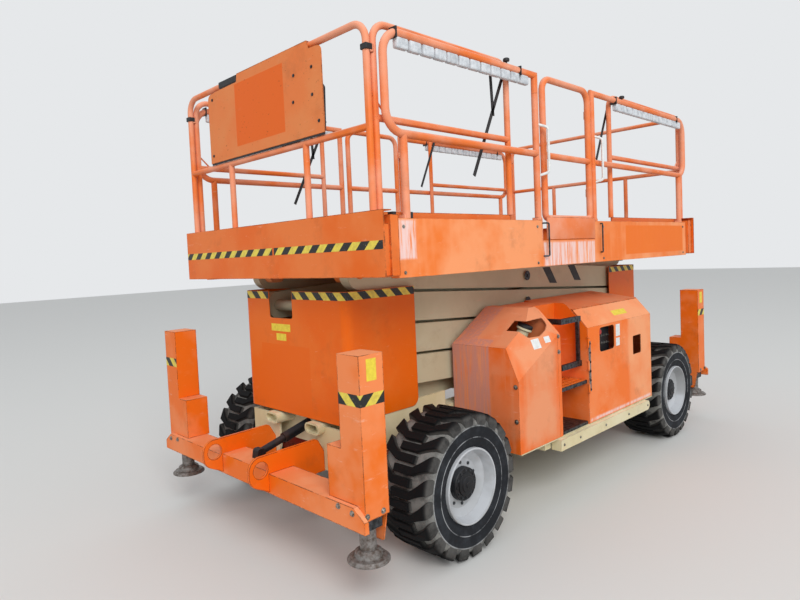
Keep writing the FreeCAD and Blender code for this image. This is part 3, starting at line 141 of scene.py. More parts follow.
floor_mesh = bpy.data.meshes.new("floor")
floor_mesh.from_pydata([(x * FLOOR_HALF, y * FLOOR_HALF, 0) for x, y in ((-1, -1), (1, -1), (1, 1), (-1, 1))],
                       [], [(0, 1, 2, 3)])
floor = bpy.data.objects.new("floor", floor_mesh)
bpy.context.scene.collection.objects.link(floor)
floor_paint, node = new_material("pale_floor")
node("OutputMaterial", node("BsdfPrincipled", Base_Color="D9D9D6", Roughness=0.85))
floor_mesh.materials.append(floor_paint)

world = bpy.data.worlds.new("studio")
bpy.context.scene.world = world
world.use_nodes = True
world.node_tree.nodes.clear()
node = partial(add, world.node_tree)
rays = node("LightPath").node.outputs
mirrored = node("Math MAXIMUM", rays["Is Glossy Ray"], rays["Is Transmission Ray"])
shown = node("Math MAXIMUM", rays["Is Camera Ray"], mirrored)
sky, backdrop = node("Background", "F4F7FB", SKY_STRENGTH), node("Background", "E6E8EA", 1.0)
node("OutputWorld", node("MixShader", shown, sky, backdrop))

lamp = bpy.data.lights.new("soft_key", "AREA")
lamp.size, lamp.energy = KEY_SIZE, KEY_WATTS
key = bpy.data.objects.new("soft_key", lamp)
aim = (KEY_AIM - KEY_PLACE).to_track_quat("-Z", "Y")
key.matrix_world = Matrix.Translation(KEY_PLACE) @ aim.to_matrix().to_4x4()
bpy.context.scene.collection.objects.link(key)
bpy.context.scene.view_settings.view_transform = "Standard"
print("floor, one lamp of", KEY_WATTS, "W and a sky of strength", SKY_STRENGTH)

# %% [markdown]
# Outdoor machine paint ages in layers. The sun chalks it towards salmon where it faces the sky,
# straps and boots scrape it pink, and knocks chip its edges down to dark steel. Where a sign was
# taken off, a rectangle of newer paint stays. Each layer is a soft mask over the fresh colour. A
# baked image could not follow the metal as closely, so every mask is worked out from the place of
# the point itself, in metres.

# %% Masks for worn paint


def edge_mask(node, width):
    """1 near an outer edge: how far the rounded normal leans from the true one."""
    rounded, true = node("Bevel", width, samples=4), node("NewGeometry", out="Normal")
    return node(STEP, node("VectorMath DOT_PRODUCT", rounded, true), 0.99, 0.90)


def inside(node, place, low, high, soft=0.006):
    """1 inside a box with slightly soft sides."""
    low, high = Vector(low), Vector(high)
    away = node("VectorMath ABSOLUTE", node("VectorMath SUBTRACT", place, (low + high) / 2))
    axes = node("SeparateXYZ", node("VectorMath SUBTRACT", away, (high - low) / 2)).node.outputs
    far = node("Math MAXIMUM", node("Math MAXIMUM", axes[0], axes[1]), axes[2])
    return node(STEP, far, 0.0, -soft)


# %% [markdown]
# One recipe serves every painted panel, because the real machine was sprayed in one go. What differs
# is how each panel has lived: covers under the deck stayed deep orange, the tops of beams and the
# deck's sides were bleached, the rails were handled. Those are the numbers below. Enamel has an IOR
# near 1.5 and a gloss that chalking dulls.

# %% Worn machine paint


def worn_paint(name, fresh, chalk, bare="3B2418", base=0.2, skyward=0.6, blotches=0.35, scuffs=0.35,
               chips=0.6, streaks=0.0, roughness=0.4, edge=0.006, specks=0.74, patches=(), scraped=(),
               sunned=(), worn_to="EDCBC4"):
    """Machine paint; base is the chalking everywhere, skyward what faces up gains, bare the primer.

    patches are boxes of the fresh colour: newer paint, and on the wheels painted shade in the dish; scraped are
    boxes worn to pale pink, sunned are chalked boxes.
    """
    material, node = new_material(name)
    place = node("TexCoord", out="Object")
    facing = node("SeparateXYZ", node("NewGeometry", out="Normal")).node.outputs
    upward = node(STEP, facing["Z"], 0.15, 0.85, 0.0, skyward)
    broad = node(STEP, node(NOISE, place, 1.9, 4.0, 0.6), 0.36, 0.64, -blotches, blotches)
    sun = node(PLUS, node(PLUS, upward, broad), base)
    for low, high in sunned:
        sun = node(PLUS, sun, node(TIMES, inside(node, place, low, high, 0.08), 0.6))
    sun = node("Clamp", sun)
    colour = node(MIX, sun, fresh, chalk)
    if streaks:
        rain = node(NOISE, node("Mapping", place, Scale=(17.0, 17.0, 1.1)), 1.0, 5.0, 0.6)
        colour = node(MIX, node(TIMES, node(STEP, rain, 0.48, 0.66), streaks), colour, chalk)
    grime = node(NOISE, place, 4.0, 6.0, 0.7)
    colour = node(MIX, node(STEP, grime, 0.52, 0.8, 0.0, 0.3), colour, "7A4A2C")
    scuff = node(NOISE, node("Mapping", place, Scale=(7.0, 7.0, 30.0)), 1.0, 7.0, 0.75)
    colour = node(MIX, node(STEP, scuff, 0.60, 0.70, 0.0, scuffs), colour, "EFB294")
    # Boxes of the fresh colour: newer paint, and on the wheels painted shade on the discs and everything inward
    # of them.
    for low, high in patches:
        colour = node(MIX, node(TIMES, inside(node, place, low, high), 0.85), colour, fresh)
    for low, high in scraped:
        scratch = node(NOISE, node("Mapping", place, Scale=(46.0, 46.0, 3.0)), 1.0, 5.0, 0.7)
        worn = node(TIMES, inside(node, place, low, high, 0.02), node(STEP, scratch, 0.36, 0.56))
        colour = node(MIX, worn, colour, worn_to)
    speck = node(STEP, node(NOISE, place, 60.0, 3.0, 0.6), specks, specks + 0.04, 0.0, 0.8)
    knocked = node(STEP, node(NOISE, place, 9.0, 5.0, 0.75), 0.38, 0.56)
    loss = node(PLUS, node(TIMES, edge_mask(node, edge), knocked), speck)
    loss = node("Clamp", node(TIMES, loss, chips))
    colour = node(MIX, loss, colour, bare)
    shine = node(PLUS, node(TIMES, sun, 0.22), node(PLUS, node(TIMES, loss, 0.2), roughness))
    fine = node(TIMES, node(NOISE, place, 160.0, 2.0, 0.55), 0.02)
    height = node(PLUS, node(NOISE, place, 3.2, 2.0, 0.55), fine)
    bump = node("Bump", Strength=0.2, Distance=0.012, Height=height)
    node("OutputMaterial", node("BsdfPrincipled", Base_Color=colour, Roughness=shine, Normal=bump,
                                IOR=1.5, Specular_IOR_Level=0.22))
    return material


COVER_X, COVER_Y, COVER_BACK = 2.005, 0.572, 1.400    # outer faces of the end covers
# Inside DISC_HALF the wheel silver turns dark grey: painted shade on the discs and everything inward of them.
DISC_HALF = 1.036             # the wheels' discs stand within this distance of the middle plane
ORANGE = worn_paint("orange_enamel", "E96817", "F2996A", blotches=0.2)
SHELTERED = worn_paint("sheltered_orange_enamel", "E56404", "E5823A", base=0.1, skyward=0.4, blotches=0.2,
                       scuffs=0.3, patches=[((-COVER_X - 0.1, -0.193, 0.80), (-COVER_X + 0.1, 0.375, 1.26))])
DECK_SIDE = worn_paint("sunned_deck_enamel", "EB7014", "F29A66", base=0.6, blotches=0.45, scuffs=0.5,
                       streaks=0.3, roughness=0.5,
                       patches=[((0.70, -1.2, 1.75), (1.96, -1.0, 2.0))],
                       scraped=[((-0.60, -1.2, 1.70), (0.165, -1.0, 1.885)),
                                ((-2.03, -1.2, 1.80), (-1.88, -1.0, 2.03))])
FASCIA = worn_paint("fascia_enamel", "E26618", "E68448", base=0.3, blotches=0.3, chips=1.0, edge=0.009)
RAILS = worn_paint("handled_rail_enamel", "E56E20", "E8A082", base=0.45, blotches=0.4, scuffs=0.5,
                   chips=1.0, edge=0.005)
BOARD = worn_paint("board_enamel", "E26010", "DE844C", base=0.85, blotches=0.2, scuffs=0.25, chips=0.9,
                   specks=0.68, patches=[((-2.3, -0.270, 2.613), (-2.0, 0.300, 3.033))])
END_FRAME = worn_paint("bleached_frame_enamel", "EA6E18", "F09C6C", base=0.15, skyward=0.75, scuffs=0.6,
                       chips=1.0, edge=0.010)
ARM_PLATES = worn_paint("towing_plate_enamel", "EA660C", "EC8238", base=0.1, skyward=0.3, blotches=0.2,
                        chips=1.0, edge=0.010)
HOOD = worn_paint("sun_bleached_hood_enamel", "E8681C", "E59469", base=0.12, skyward=0.7, scuffs=0.3,
                  streaks=0.35, roughness=0.48, worn_to="CF8E7E",
                  scraped=[((-1.2, -0.90, 0.3), (-0.95, -0.5, 1.33)), ((-1.2, -0.75, 1.2), (-0.6, -0.5, 1.5))],
                  sunned=[((-1.2, -0.90, 0.3), (-0.95, -0.5, 1.35)), ((-1.0, -1.2, 0.48), (-0.53, -1.0, 1.2)),
                          ((-1.06, -1.13, 0.98), (-0.50, -0.88, 1.37))])
DOOR = worn_paint("door_enamel", "EE7018", "F0A070", base=0.12, skyward=0.9, blotches=0.3,
                  scraped=[((-0.10, -1.2, 0.488), (1.03, -1.0, 0.53))],
                  sunned=[((0.55, -1.2, 0.4), (1.2, -1.0, 1.3))])
CREAM = worn_paint("cream_enamel", "D3C69C", "E4DCBD", "5B4B36", base=0.25, skyward=0.5, chips=0.5)
ARM_CREAM = worn_paint("cream_arm_enamel", "C2B798", "D0C8AC", "54452F", blotches=0.3, chips=0.5)
BLACK = worn_paint("black_chassis_enamel", "16171A", "34363A", "4A3D33", scuffs=0.0, chips=0.3)
RED = worn_paint("oxide_red_axle_paint", "8A2A1C", "A5523F", "33231D", scuffs=0.0, chips=0.5)
# Wheel silver: pale silver outside DISC_HALF, and inside it the dark first colour, which is painted shade on
# the discs and dishes.
SILVER_WITH_PAINTED_DISH_SHADE = worn_paint("silver_wheel_paint_with_painted_dish_shade", "77756F", "BEC1C5", "5A534C", base=0.9, scuffs=0.0, chips=0.25,
                    roughness=0.35, patches=[((-3.0, -DISC_HALF, 0.0), (3.0, DISC_HALF, 1.0))])
print("paints mixed:", len(bpy.data.materials) - 1)

# %% [markdown]
# Bare steel, chrome, black plastic and the tapes are simpler: a base colour, some cloud and a gloss.
# Tyre rubber is nearly black where it runs on the ground, and site mud dries pale grey between the
# bars, so its mask is the distance from the axle, the same for all four wheels.

# %% Bare metals, rubber, plastic and tape
AXLE_X, WHEEL_Y, AXLE_Z = 1.553, 0.940, 0.440
TAPE_PITCH = 0.142            # one black and one yellow stripe


def plain(name, light, dark, roughness, metallic=0.0, grain=40.0):
    """Finish whose tone and gloss vary a little over its surface."""
    material, node = new_material(name)
    cloud = node(NOISE, node("TexCoord", out="Object"), grain, 5.0, 0.65)
    colour = node(MIX, node(STEP, cloud, 0.35, 0.7), light, dark)
    shine = node(STEP, cloud, 0.3, 0.7, roughness, roughness + 0.18)
    bump = node("Bump", Strength=0.2, Distance=0.002, Height=cloud)
    node("OutputMaterial", node("BsdfPrincipled", Base_Color=colour, Roughness=shine, Metallic=metallic,
                                Normal=bump))
    return material


def muddy_rubber(name, dried, most, rings=()):
    """Black rubber with mud dried between the bars; rings are the radii of pale raised lines."""
    material, node = new_material(name)
    place = node("TexCoord", out="Object")
    axes = node("SeparateXYZ", place).node.outputs
    along, above = node(MINUS, node("Math ABSOLUTE", axes[0]), AXLE_X), node(MINUS, axes[2], AXLE_Z)
    radius = node("Math SQRT", node(PLUS, node(TIMES, along, along), node(TIMES, above, above)))
    cloud = node(NOISE, place, 9.0, 6.0, 0.7)
    mud = node(TIMES, node(STEP, radius, 0.434, 0.412), node(STEP, radius, 0.350, 0.368))
    mud = node(TIMES, mud, node(STEP, cloud, 0.3, 0.62, most * 0.3, most))
    wall = node(MIX, node(STEP, cloud, 0.4, 0.7), "1C1E22", "2E3136")
    colour = node(MIX, mud, node(MIX, node(STEP, radius, 0.345, 0.42), wall, "08080A"), dried)
    for ring in rings:
        near = node(STEP, node("Math ABSOLUTE", node(MINUS, radius, ring)), 0.0035, 0.0015)
        near = node(TIMES, near, node(STEP, cloud, 0.35, 0.6, 0.0, 0.8))
        colour = node(MIX, near, colour, "A9ABAD")
    bump = node("Bump", Strength=0.25, Distance=0.001, Height=node(NOISE, place, 220.0, 3.0, 0.55))
    node("OutputMaterial", node("BsdfPrincipled", Base_Color=colour, Roughness=0.78, Normal=bump,
                                Specular_IOR_Level=0.2))
    return material


def hazard_tape(name, lean):
    """Yellow and black vinyl; the stripes follow the sum of the place times lean."""
    material, node = new_material(name)
    place = node("TexCoord", out="Object")
    along = node("VectorMath DOT_PRODUCT", place, lean)
    black = node("Math GREATER_THAN", node("Math FRACT", node(OVER, along, TAPE_PITCH)), 0.5)
    cloud = node(NOISE, place, 30.0, 5.0, 0.7)
    yellow = node(MIX, node(STEP, cloud, 0.4, 0.7), "E6D04A", "C9B246")
    worn = node(STEP, node(NOISE, place, 80.0, 4.0, 0.7), 0.62, 0.70, 0.0, 0.7)
    colour = node(MIX, worn, node(MIX, black, yellow, "141312"), "8F8468")
    node("OutputMaterial", node("BsdfPrincipled", Base_Color=colour, Roughness=0.45))
    return material


DARK_STEEL = plain("weathered_dark_steel", "55585C", "2E2D2D", 0.42, 0.9)
GREY_STEEL = plain("worn_grey_steel", "8E8A87", "5C5047", 0.5, 0.6)
CHROME = plain("hard_chrome", "D5D7DA", "BFC1C6", 0.12, 1.0, grain=12.0)
BOLT_STEEL = plain("zinc_bolt_steel", "A9A8A2", "6E6A62", 0.35, 1.0)
RUBBER = muddy_rubber("muddy_tyre_rubber", "84837F", 1.0, (0.2905, 0.3580))
BAR_RUBBER = muddy_rubber("tread_bar_rubber", "5C5A57", 0.75)
BLACK_PLASTIC = plain("black_moulded_plastic", "151517", "222225", 0.45)
WHITE_PLASTIC = plain("yellowed_white_vinyl", "E4E6E4", "CFD2D0", 0.5)
PAD_PLASTIC = plain("dusty_clear_plastic", "D3D7DB", "AEB3B8", 0.35, grain=25.0)
LABEL_YELLOW = plain("yellow_vinyl", "EAD23A", "D9BE38", 0.45)
RED_PLASTIC = plain("red_moulded_plastic", "B5201C", "8E1A18", 0.35)
FLOOR_STEEL = plain("scuffed_floor_paint", "8B6A55", "5C5148", 0.55, 0.3, grain=6.0)
COVER_TAPE = hazard_tape("cover_hazard_tape", (-1.0, 1.0, -1.0))
LEG_TAPE = hazard_tape("leg_hazard_tape", (1.0, 1.0, -1.0))
BOARD_TAPE = hazard_tape("board_hazard_tape", (0.0, 1.0, 1.0))

# %% [markdown]
# The frame's own pieces get their finishes here. The record names a slot for each of them, and the
# ones whose paint has lived another life are picked out by how their names begin.

# %% Finishes of the frame's pieces
SLOT_FINISH = {
    "orange_paint": ORANGE, "cream_paint": CREAM, "black_paint": BLACK, "silver_paint": SILVER_WITH_PAINTED_DISH_SHADE,
    "dark_steel": DARK_STEEL, "bright_steel": CHROME, "tyre_rubber": RUBBER, "red_paint": RED,
}
OWN_FINISH = {                # the first that fits counts
    "end_covers": SHELTERED, "deck_rails": RAILS, "deck": DECK_SIDE, "gate_": RAILS,
    "extension_deck": FASCIA, "extension_": RAILS, "control_panel": BOARD, "jack_frame": END_FRAME,
    "jack_front": GREY_STEEL, "jack_rear": GREY_STEEL, "frame_arms": ARM_PLATES, "tank_hoods": HOOD,
    "bay_shells": HOOD, "door_": DOOR, "inner_arms": ARM_CREAM, "outer_arms": ARM_CREAM,
}
for part in frame["record"]["subparts"]:
    own = [finish for start, finish in OWN_FINISH.items() if part["node"].startswith(start)]
    slots = NODES[part["node"]].data.materials
    slots.clear()
    slots.append((own + [SLOT_FINISH[part["material_slot"]]])[0])

# %% [markdown]
# Every added piece is one mesh that rides on the body that it is bolted to. Blocks get a small bevel,
# because a real edge always catches a line of light. Round things are turned on a lathe: a short
# profile of radius and height goes round an axis. Bent bar follows a path with rounded bends. All of
# these but the blocks are rings of points with a skin of faces from each ring to the next.

# %% Helpers that make pieces


def mesh_of(work, name):
    """Plain mesh from a bmesh, with its faces pointing outwards."""
    bmesh.ops.recalc_face_normals(work, faces=work.faces)
    mesh = bpy.data.meshes.new(name)
    work.to_mesh(mesh)
    work.free()
    return mesh


def piece(name, shape, body, finish, smooth=False):
    """Object of a bmesh or a finished mesh that rides on a body."""
    mesh = shape if isinstance(shape, bpy.types.Mesh) else mesh_of(shape, name)
    made = bpy.data.objects.new(name, mesh)
    bpy.context.scene.collection.objects.link(made)
    mesh.materials.clear()
    mesh.materials.append(finish)
    mesh.polygons.foreach_set("use_smooth", [smooth] * len(mesh.polygons))
    if smooth:
        mesh.set_sharp_from_angle(angle=math.radians(35))
    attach(made, body)
    return made


def skin(work, rings, closed=False):
    """Faces between rings of points; a row that doesn't close on itself gets a face on each end."""
    rings = [[work.verts.new(point) for point in ring] for ring in rings]
    for near, far in zip(rings, rings[1:] + rings[:closed]):
        for i in range(max(len(near), len(far))):
            square = [ring[k % len(ring)] for ring, k in ((near, i), (near, i + 1), (far, i + 1), (far, i))]
            work.faces.new(list(dict.fromkeys(square)))
    for ring in () if closed else (rings[0], rings[-1]):
        if len(ring) > 1:
            work.faces.new(ring)
    return rings


def circle(middle, side, other, radius, steps):
    """Points round a middle in the plane of two directions; one point if the radius is nothing."""
    turns = [2 * math.pi * k / steps for k in range(steps if radius else 1)]
    return [Vector(middle) + radius * (math.cos(a) * side + math.sin(a) * other) for a in turns]


def add_block(work, low, high, bevel=0.0):
    """Box between two corners, with bevelled edges if asked."""
    made = bmesh.ops.create_cube(work, size=1.0)["verts"]
    bmesh.ops.scale(work, vec=Vector(high) - Vector(low), verts=made)
    bmesh.ops.translate(work, vec=(Vector(low) + Vector(high)) / 2, verts=made)
    if bevel:
        edges = list({edge for vert in made for edge in vert.link_edges})
        bmesh.ops.bevel(work, geom=edges, offset=bevel, segments=2, affect="EDGES", profile=0.5)


def blocks(name, boxes, body, finish, bevel=0.002):
    """One piece of several boxes."""
    work = bmesh.new()
    for low, high in boxes:
        add_block(work, low, high, bevel)
    return piece(name, work, body, finish)


def add_lathe(work, profile, centre=(0, 0, 0), axis=(0, 0, 1), steps=24, hollow=False):
    """Turned shape; profile is (radius, distance along the axis). A hollow one closes on itself."""
    axis = Vector(axis).normalized()
    side = axis.orthogonal().normalized()
    skin(work, [circle(Vector(centre) + axis * along, side, axis.cross(side), radius, steps)
                for radius, along in profile], hollow)


def turned(name, profile, centre, axis, body, finish, steps=24, hollow=False):
    """One turned piece."""
    work = bmesh.new()
    add_lathe(work, profile, centre, axis, steps, hollow)
    return piece(name, work, body, finish, smooth=True)


def bend(points, radius, steps=6):
    """Path with an arc in place of each inner corner."""
    path = [Vector(points[0])]
    for before, corner, after in zip(points, points[1:], points[2:]):
        before, corner, after = Vector(before), Vector(corner), Vector(after)
        back, on = (before - corner).normalized(), (after - corner).normalized()
        reach = radius / math.tan(back.angle(on) / 2)
        start, end = corner + back * reach, corner + on * reach
        path += [start * (1 - t) ** 2 + corner * 2 * t * (1 - t) + end * t ** 2
                 for t in (i / steps for i in range(steps + 1))]
    return path + [Vector(points[-1])]


def add_bar(work, path, radius, steps=12):
    """Round bar along a path."""
    rings = []
    for i, here in enumerate(path):
        along = (path[min(i + 1, len(path) - 1)] - path[max(i - 1, 0)]).normalized()
        side = along.cross(Vector((0.31, 0.17, 0.93))).normalized()
        rings.append(circle(here, side, along.cross(side), radius, steps))
    skin(work, rings)


def bent_bar(name, routes, radius, corner, body, finish):
    """One piece of several bent bars."""
    work = bmesh.new()
    for points in routes:
        add_bar(work, bend(points, corner), radius)
    return piece(name, work, body, finish, smooth=True)


def add_sheet(work, points, outward, thickness, lift=0.0):
    """Flat sheet with the given outline, thickened outwards."""
    outward = Vector(outward).normalized()
    skin(work, [[Vector(p) + outward * h for p in points] for h in (lift, lift + thickness)])


def sheets(name, outlines, body, finish):
    """One piece of several thin flat sheets; each is (outline, outward direction)."""
    work = bmesh.new()
    for points, outward in outlines:
        add_sheet(work, points, outward, 0.0006, 0.0003)
    return piece(name, work, body, finish)


# %% [markdown]
# What repeats is made with Geometry Nodes. Three small trees do all of it here: one sets a shape on
# every point of a mesh and turns it to face outwards, which suits bolts; one sets copies round an
# axle, which suits tread bars and wheel nuts; one lays a grid, which suits floor plate. Each ends in
# Realize Instances and Set Material, and the result is turned into a plain mesh.

# %% Geometry Nodes trees


def copies_tree(name, labels, lay):
    """Tree that sets a shape on the points that lay gives, turned as it says, and moves them."""
    tree = bpy.data.node_groups.new(name, "GeometryNodeTree")
    tree.interface.new_socket("Geometry", in_out="OUTPUT", socket_type="NodeSocketGeometry")
    for label, kind in {"Geometry": "Geometry", "Shape": "Object", "Finish": "Material",
                        "Place": "Vector", **labels}.items():
        tree.interface.new_socket(label, in_out="INPUT", socket_type="NodeSocket" + kind)
    node = partial(add, tree)
    given = node("NodeGroupInput").node.outputs
    points, spin = lay(node, given)
    shape = node("GeometryNodeObjectInfo", given["Shape"], out="Geometry")
    copies = node("GeometryNodeInstanceOnPoints", Points=points, Instance=shape, Rotation=spin)
    real = node("GeometryNodeRealizeInstances", node("GeometryNodeTransform", copies, given["Place"]))
    node("NodeGroupOutput", node("GeometryNodeSetMaterial", Geometry=real, Material=given["Finish"]))
    return tree


def lay_on_points(node, given):
    """Every point of the carrier, with the shape's Z axis along the point's own facing."""
    facing = node("GeometryNodeInputNamedAttribute", "facing", data_type="FLOAT_VECTOR")
    return given["Geometry"], node("FunctionNodeAlignRotationToVector", Vector=facing, axis="Z")


def lay_round_axle(node, given):
    """Points in one place, turned evenly round the Y axis."""
    line = node("GeometryNodeMeshLine", Count=given["Count"], Offset=(0.0, 0.0, 0.0))
    turn = node(TIMES, node("GeometryNodeInputIndex"), node(OVER, 2 * math.pi, given["Count"]))
    turn = node("CombineXYZ", Y=node(PLUS, turn, given["Start"]))
    return line, node("FunctionNodeEulerToRotation", turn)


def lay_on_grid(node, given):
    """A grid, where every other point is turned a right angle."""
    grid = node("GeometryNodeMeshGrid", given["Size X"], given["Size Y"], given["Count X"], given["Count Y"])
    index = node("GeometryNodeInputIndex")
    row = node("Math FLOOR", node(OVER, index, given["Count Y"]))
    odd = node("Math MODULO", node(PLUS, index, row), 2.0)
    turn = node("CombineXYZ", Z=node(TIMES, odd, math.pi / 2))
    return grid, node("FunctionNodeEulerToRotation", turn)


ON_POINTS = copies_tree("shape_on_points", {}, lay_on_points)
ROUND_AXLE = copies_tree("copies_round_axle", {"Count": "Int", "Start": "Float"}, lay_round_axle)
ON_GRID = copies_tree("shape_on_grid", {"Size X": "Float", "Size Y": "Float", "Count X": "Int",
                                        "Count Y": "Int"}, lay_on_grid)


def grown(name, tree, inputs, body, finish, carrier=None):
    """Plain mesh of what a tree makes on a carrier mesh, as a piece on a body."""
    holder = bpy.data.objects.new(name + "_points", carrier or bpy.data.meshes.new("empty"))
    bpy.context.scene.collection.objects.link(holder)
    modifier = holder.modifiers.new("grow", "NODES")
    modifier.node_group = tree
    inputs["Finish"] = finish
    for item in tree.interface.items_tree:
        if item.in_out == "INPUT" and item.name in inputs:
            modifier[item.identifier] = inputs[item.name]
    ready = holder.evaluated_get(bpy.context.evaluated_depsgraph_get())
    mesh = bpy.data.meshes.new_from_object(ready)
    bpy.data.objects.remove(holder)
    mesh.name = name
    return piece(name, mesh, body, finish)


def on_points(name, shape, places, body, finish):
    """A shape on each (point, facing)."""
    carrier = bpy.data.meshes.new(name + "_carrier")
    carrier.from_pydata([point for point, _ in places], [], [])
    facing = carrier.attributes.new("facing", "FLOAT_VECTOR", "POINT")
    facing.data.foreach_set("vector", [v for _, way in places for v in way])
    return grown(name, ON_POINTS, {"Shape": shape}, body, finish, carrier)


def hidden_shape(name, work):
    """Shape for a tree to copy; it stays out of the scene."""
    return bpy.data.objects.new(name, mesh_of(work, name))


def turned_shape(name, *parts):
    """Hidden shape of turned parts on the plane z = 0; each is (profile, steps).

    A profile that comes back to its first height closes on itself.
    """
    work = bmesh.new()
    for profile, steps in parts:
        add_lathe(work, profile, steps=steps, hollow=profile[0][1] == profile[-1][1])
    return hidden_shape(name, work)


def bolt_shape(name, across, height):
    """Hexagon bolt head on its washer."""
    low, high = height * 0.2, height * 0.9
    return turned_shape(name, (((across * 0.95, 0.0), (across * 0.95, low)), 16),
                        (((across * 0.62, low), (across * 0.62, high), (across * 0.5, height)), 6))


BOLT = bolt_shape("bolt_head", 0.017, 0.011)
SMALL_BOLT = bolt_shape("small_bolt_head", 0.011, 0.007)
print("trees:", ON_POINTS.name, ROUND_AXLE.name, ON_GRID.name)

# %% [markdown]
# The tyres carry the eye. The frame's tyre has the right bars, but as flat facets. This one is turned
# fine, and each bar is a small loft: straight across the middle, past the bars of the other side,
# then swept over the shoulder and down the wall. One bar is shaped, and the tree sets twenty on each
# side.

# %% Tyres
BAR_COUNT = 20
BAR_STARTS = {1: -3.5, -1: -12.5}     # degrees by which the first bar of each half is turned
WHEELS = [(f"{end}_{label}", side, (sx * AXLE_X, side * WHEEL_Y, AXLE_Z))
          for sx, end in ENDS for side, label in SIDES]
TYRE_PROFILE = (              # distance from the tyre's middle, radius
    (0.166, 0.2290), (0.173, 0.2300), (0.1790, 0.2440), (0.1850, 0.2620), (0.1885, 0.2800),
    (0.1905, 0.2870), (0.1925, 0.2905), (0.1900, 0.2945), (0.1925, 0.3200), (0.1940, 0.3450),
    (0.1945, 0.3540), (0.1962, 0.3580), (0.1935, 0.3625), (0.1900, 0.3760), (0.1840, 0.3880),
    (0.1740, 0.3960), (0.1400, 0.4025), (0.0700, 0.4070), (0.0, 0.4085),
)
BAR_STATIONS = (              # root y and radius, crest y and radius, degrees, half widths of both
    (-0.0700, 0.404, -0.0665, 0.4400, 0.0, 3.5, 3.0),
    (0.0700, 0.404, 0.0700, 0.4400, 0.0, 3.5, 3.0),
    (0.1180, 0.401, 0.1200, 0.4395, -4.0, 4.2, 3.6),
    (0.1640, 0.394, 0.1740, 0.4370, -8.4, 6.0, 5.3),
    (0.1760, 0.385, 0.1880, 0.4260, -9.3, 6.7, 6.0),
    (0.1850, 0.370, 0.1958, 0.3960, -9.8, 6.8, 6.1),
    (0.1870, 0.356, 0.1925, 0.3580, -10.0, 6.3, 5.6),
)


def tread_bar(side):
    """One bar whose crest's middle stands at degree 0, for one side of the tyre."""
    work = bmesh.new()
    rings = []
    for root_y, root_r, crest_y, crest_r, degrees, root_half, crest_half in BAR_STATIONS:
        ring = []
        for y, r, lean in ((root_y, root_r, -root_half), (crest_y, crest_r, -crest_half),
                           (crest_y, crest_r, crest_half), (root_y, root_r, root_half)):
            angle = math.radians(degrees + lean)
            ring.append((r * math.cos(angle), side * y, r * math.sin(angle)))
        rings.append(ring)
    crest = {vert for ring in skin(work, rings) for vert in ring[1:3]}
    bmesh.ops.bevel(work, geom=[edge for edge in work.edges if crest.issuperset(edge.verts)], offset=0.003,
                    segments=1, affect="EDGES")
    return hidden_shape("tread_bar", work)


BARS = {side: tread_bar(side) for side, _ in SIDES}
half = [(radius, y) for y, radius in TYRE_PROFILE]
tyre_round = half + [(radius, -y) for radius, y in reversed(half[:-1])]
for wheel, side, place in WHEELS:
    tyre = turned(f"tyre_skin_{wheel}", tyre_round, place, (0, 1, 0), f"wheel_{wheel}", RUBBER, 120,
                  hollow=True)
    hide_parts(f"tyre_{wheel}")
    for half_side, start in BAR_STARTS.items():
        bars = grown(f"tread_bars_{wheel}_{'outer' if half_side == side else 'inner'}", ROUND_AXLE,
                     {"Shape": BARS[half_side], "Count": BAR_COUNT, "Start": math.radians(start),
                      "Place": place}, f"wheel_{wheel}", BAR_RUBBER)
print("bars on each tyre:", 2 * BAR_COUNT, "of", len(BARS[1].data.polygons), "faces")

# %% [markdown]
# A planetary hub fills the dish of each wheel: a black drum with a ring of bolts and a round cap. The
# wheel nuts stand round it on the silver disc, and a bright rolled lip runs round the rim's edge.

# %% Wheel hubs, nuts and lips
DISC_Y = 0.0935               # outer face of the wheel's disc from the tyre's middle
HUB_FACE = DISC_Y + 0.0445    # the drum's face, which the bolts stand on
HUB_PROFILE = ((0.1015, DISC_Y), (0.1000, HUB_FACE - 0.005), (0.0960, HUB_FACE), (0.0700, HUB_FACE),
               (0.0680, HUB_FACE + 0.009), (0.0500, HUB_FACE + 0.012), (0.0470, HUB_FACE + 0.019),
               (0.0200, HUB_FACE + 0.021), (0.0180, HUB_FACE + 0.026), (0.0, HUB_FACE + 0.026))
LIP_PROFILE = ((0.2150, 0.1870), (0.2165, 0.1925), (0.2215, 0.1945), (0.2270, 0.1925), (0.2284, 0.1875))
WHEEL_BOLTS = (               # name, head, radius of the ring, distance out, count, first turn
    ("hub_bolts", SMALL_BOLT, 0.084, HUB_FACE - 0.0005, 12, 0.0),
    ("wheel_nuts", BOLT, 0.126, DISC_Y, 10, 0.3),
)

for wheel, side, place in WHEELS:
    body, out = f"wheel_{wheel}", Vector((0, side, 0))
    turned(f"hub_drum_{wheel}", HUB_PROFILE, place, out, body, BLACK, 40)
    for name, head, radius, at, count, start in WHEEL_BOLTS:
        work = bmesh.new()
        work.from_mesh(head.data)
        standing = out.to_track_quat("Z", "Y").to_matrix().to_4x4()
        work.transform(Matrix.Translation((radius, side * at, 0)) @ standing)
        grown(f"{name}_{wheel}", ROUND_AXLE, {"Shape": hidden_shape("ringed_bolt", work), "Count": count,
                                              "Start": start, "Place": place}, body, DARK_STEEL)
    turned(f"rim_lip_{wheel}", LIP_PROFILE, place, out, body, SILVER_WITH_PAINTED_DISH_SHADE, 96, hollow=True)
print("hubs on", len(WHEELS), "wheels")

# %% [markdown]
# Yellow and black tape marks what can crush: the end boards, the legs and the tops of the covers. It
# is a strip less than a millimetre thick that runs round the corners, so each strip follows a path
# seen from above and lies just off the paint.

# %% Hazard tape
COVER_CORNER = 0.060          # radius of the end covers' upright bends
LEG_X0, LEG_X1, LEG_Y0, LEG_Y1 = 2.222, 2.390, 0.936, 1.106
END_BOARD_X = 2.166           # outer faces of the sliding decks' end boards


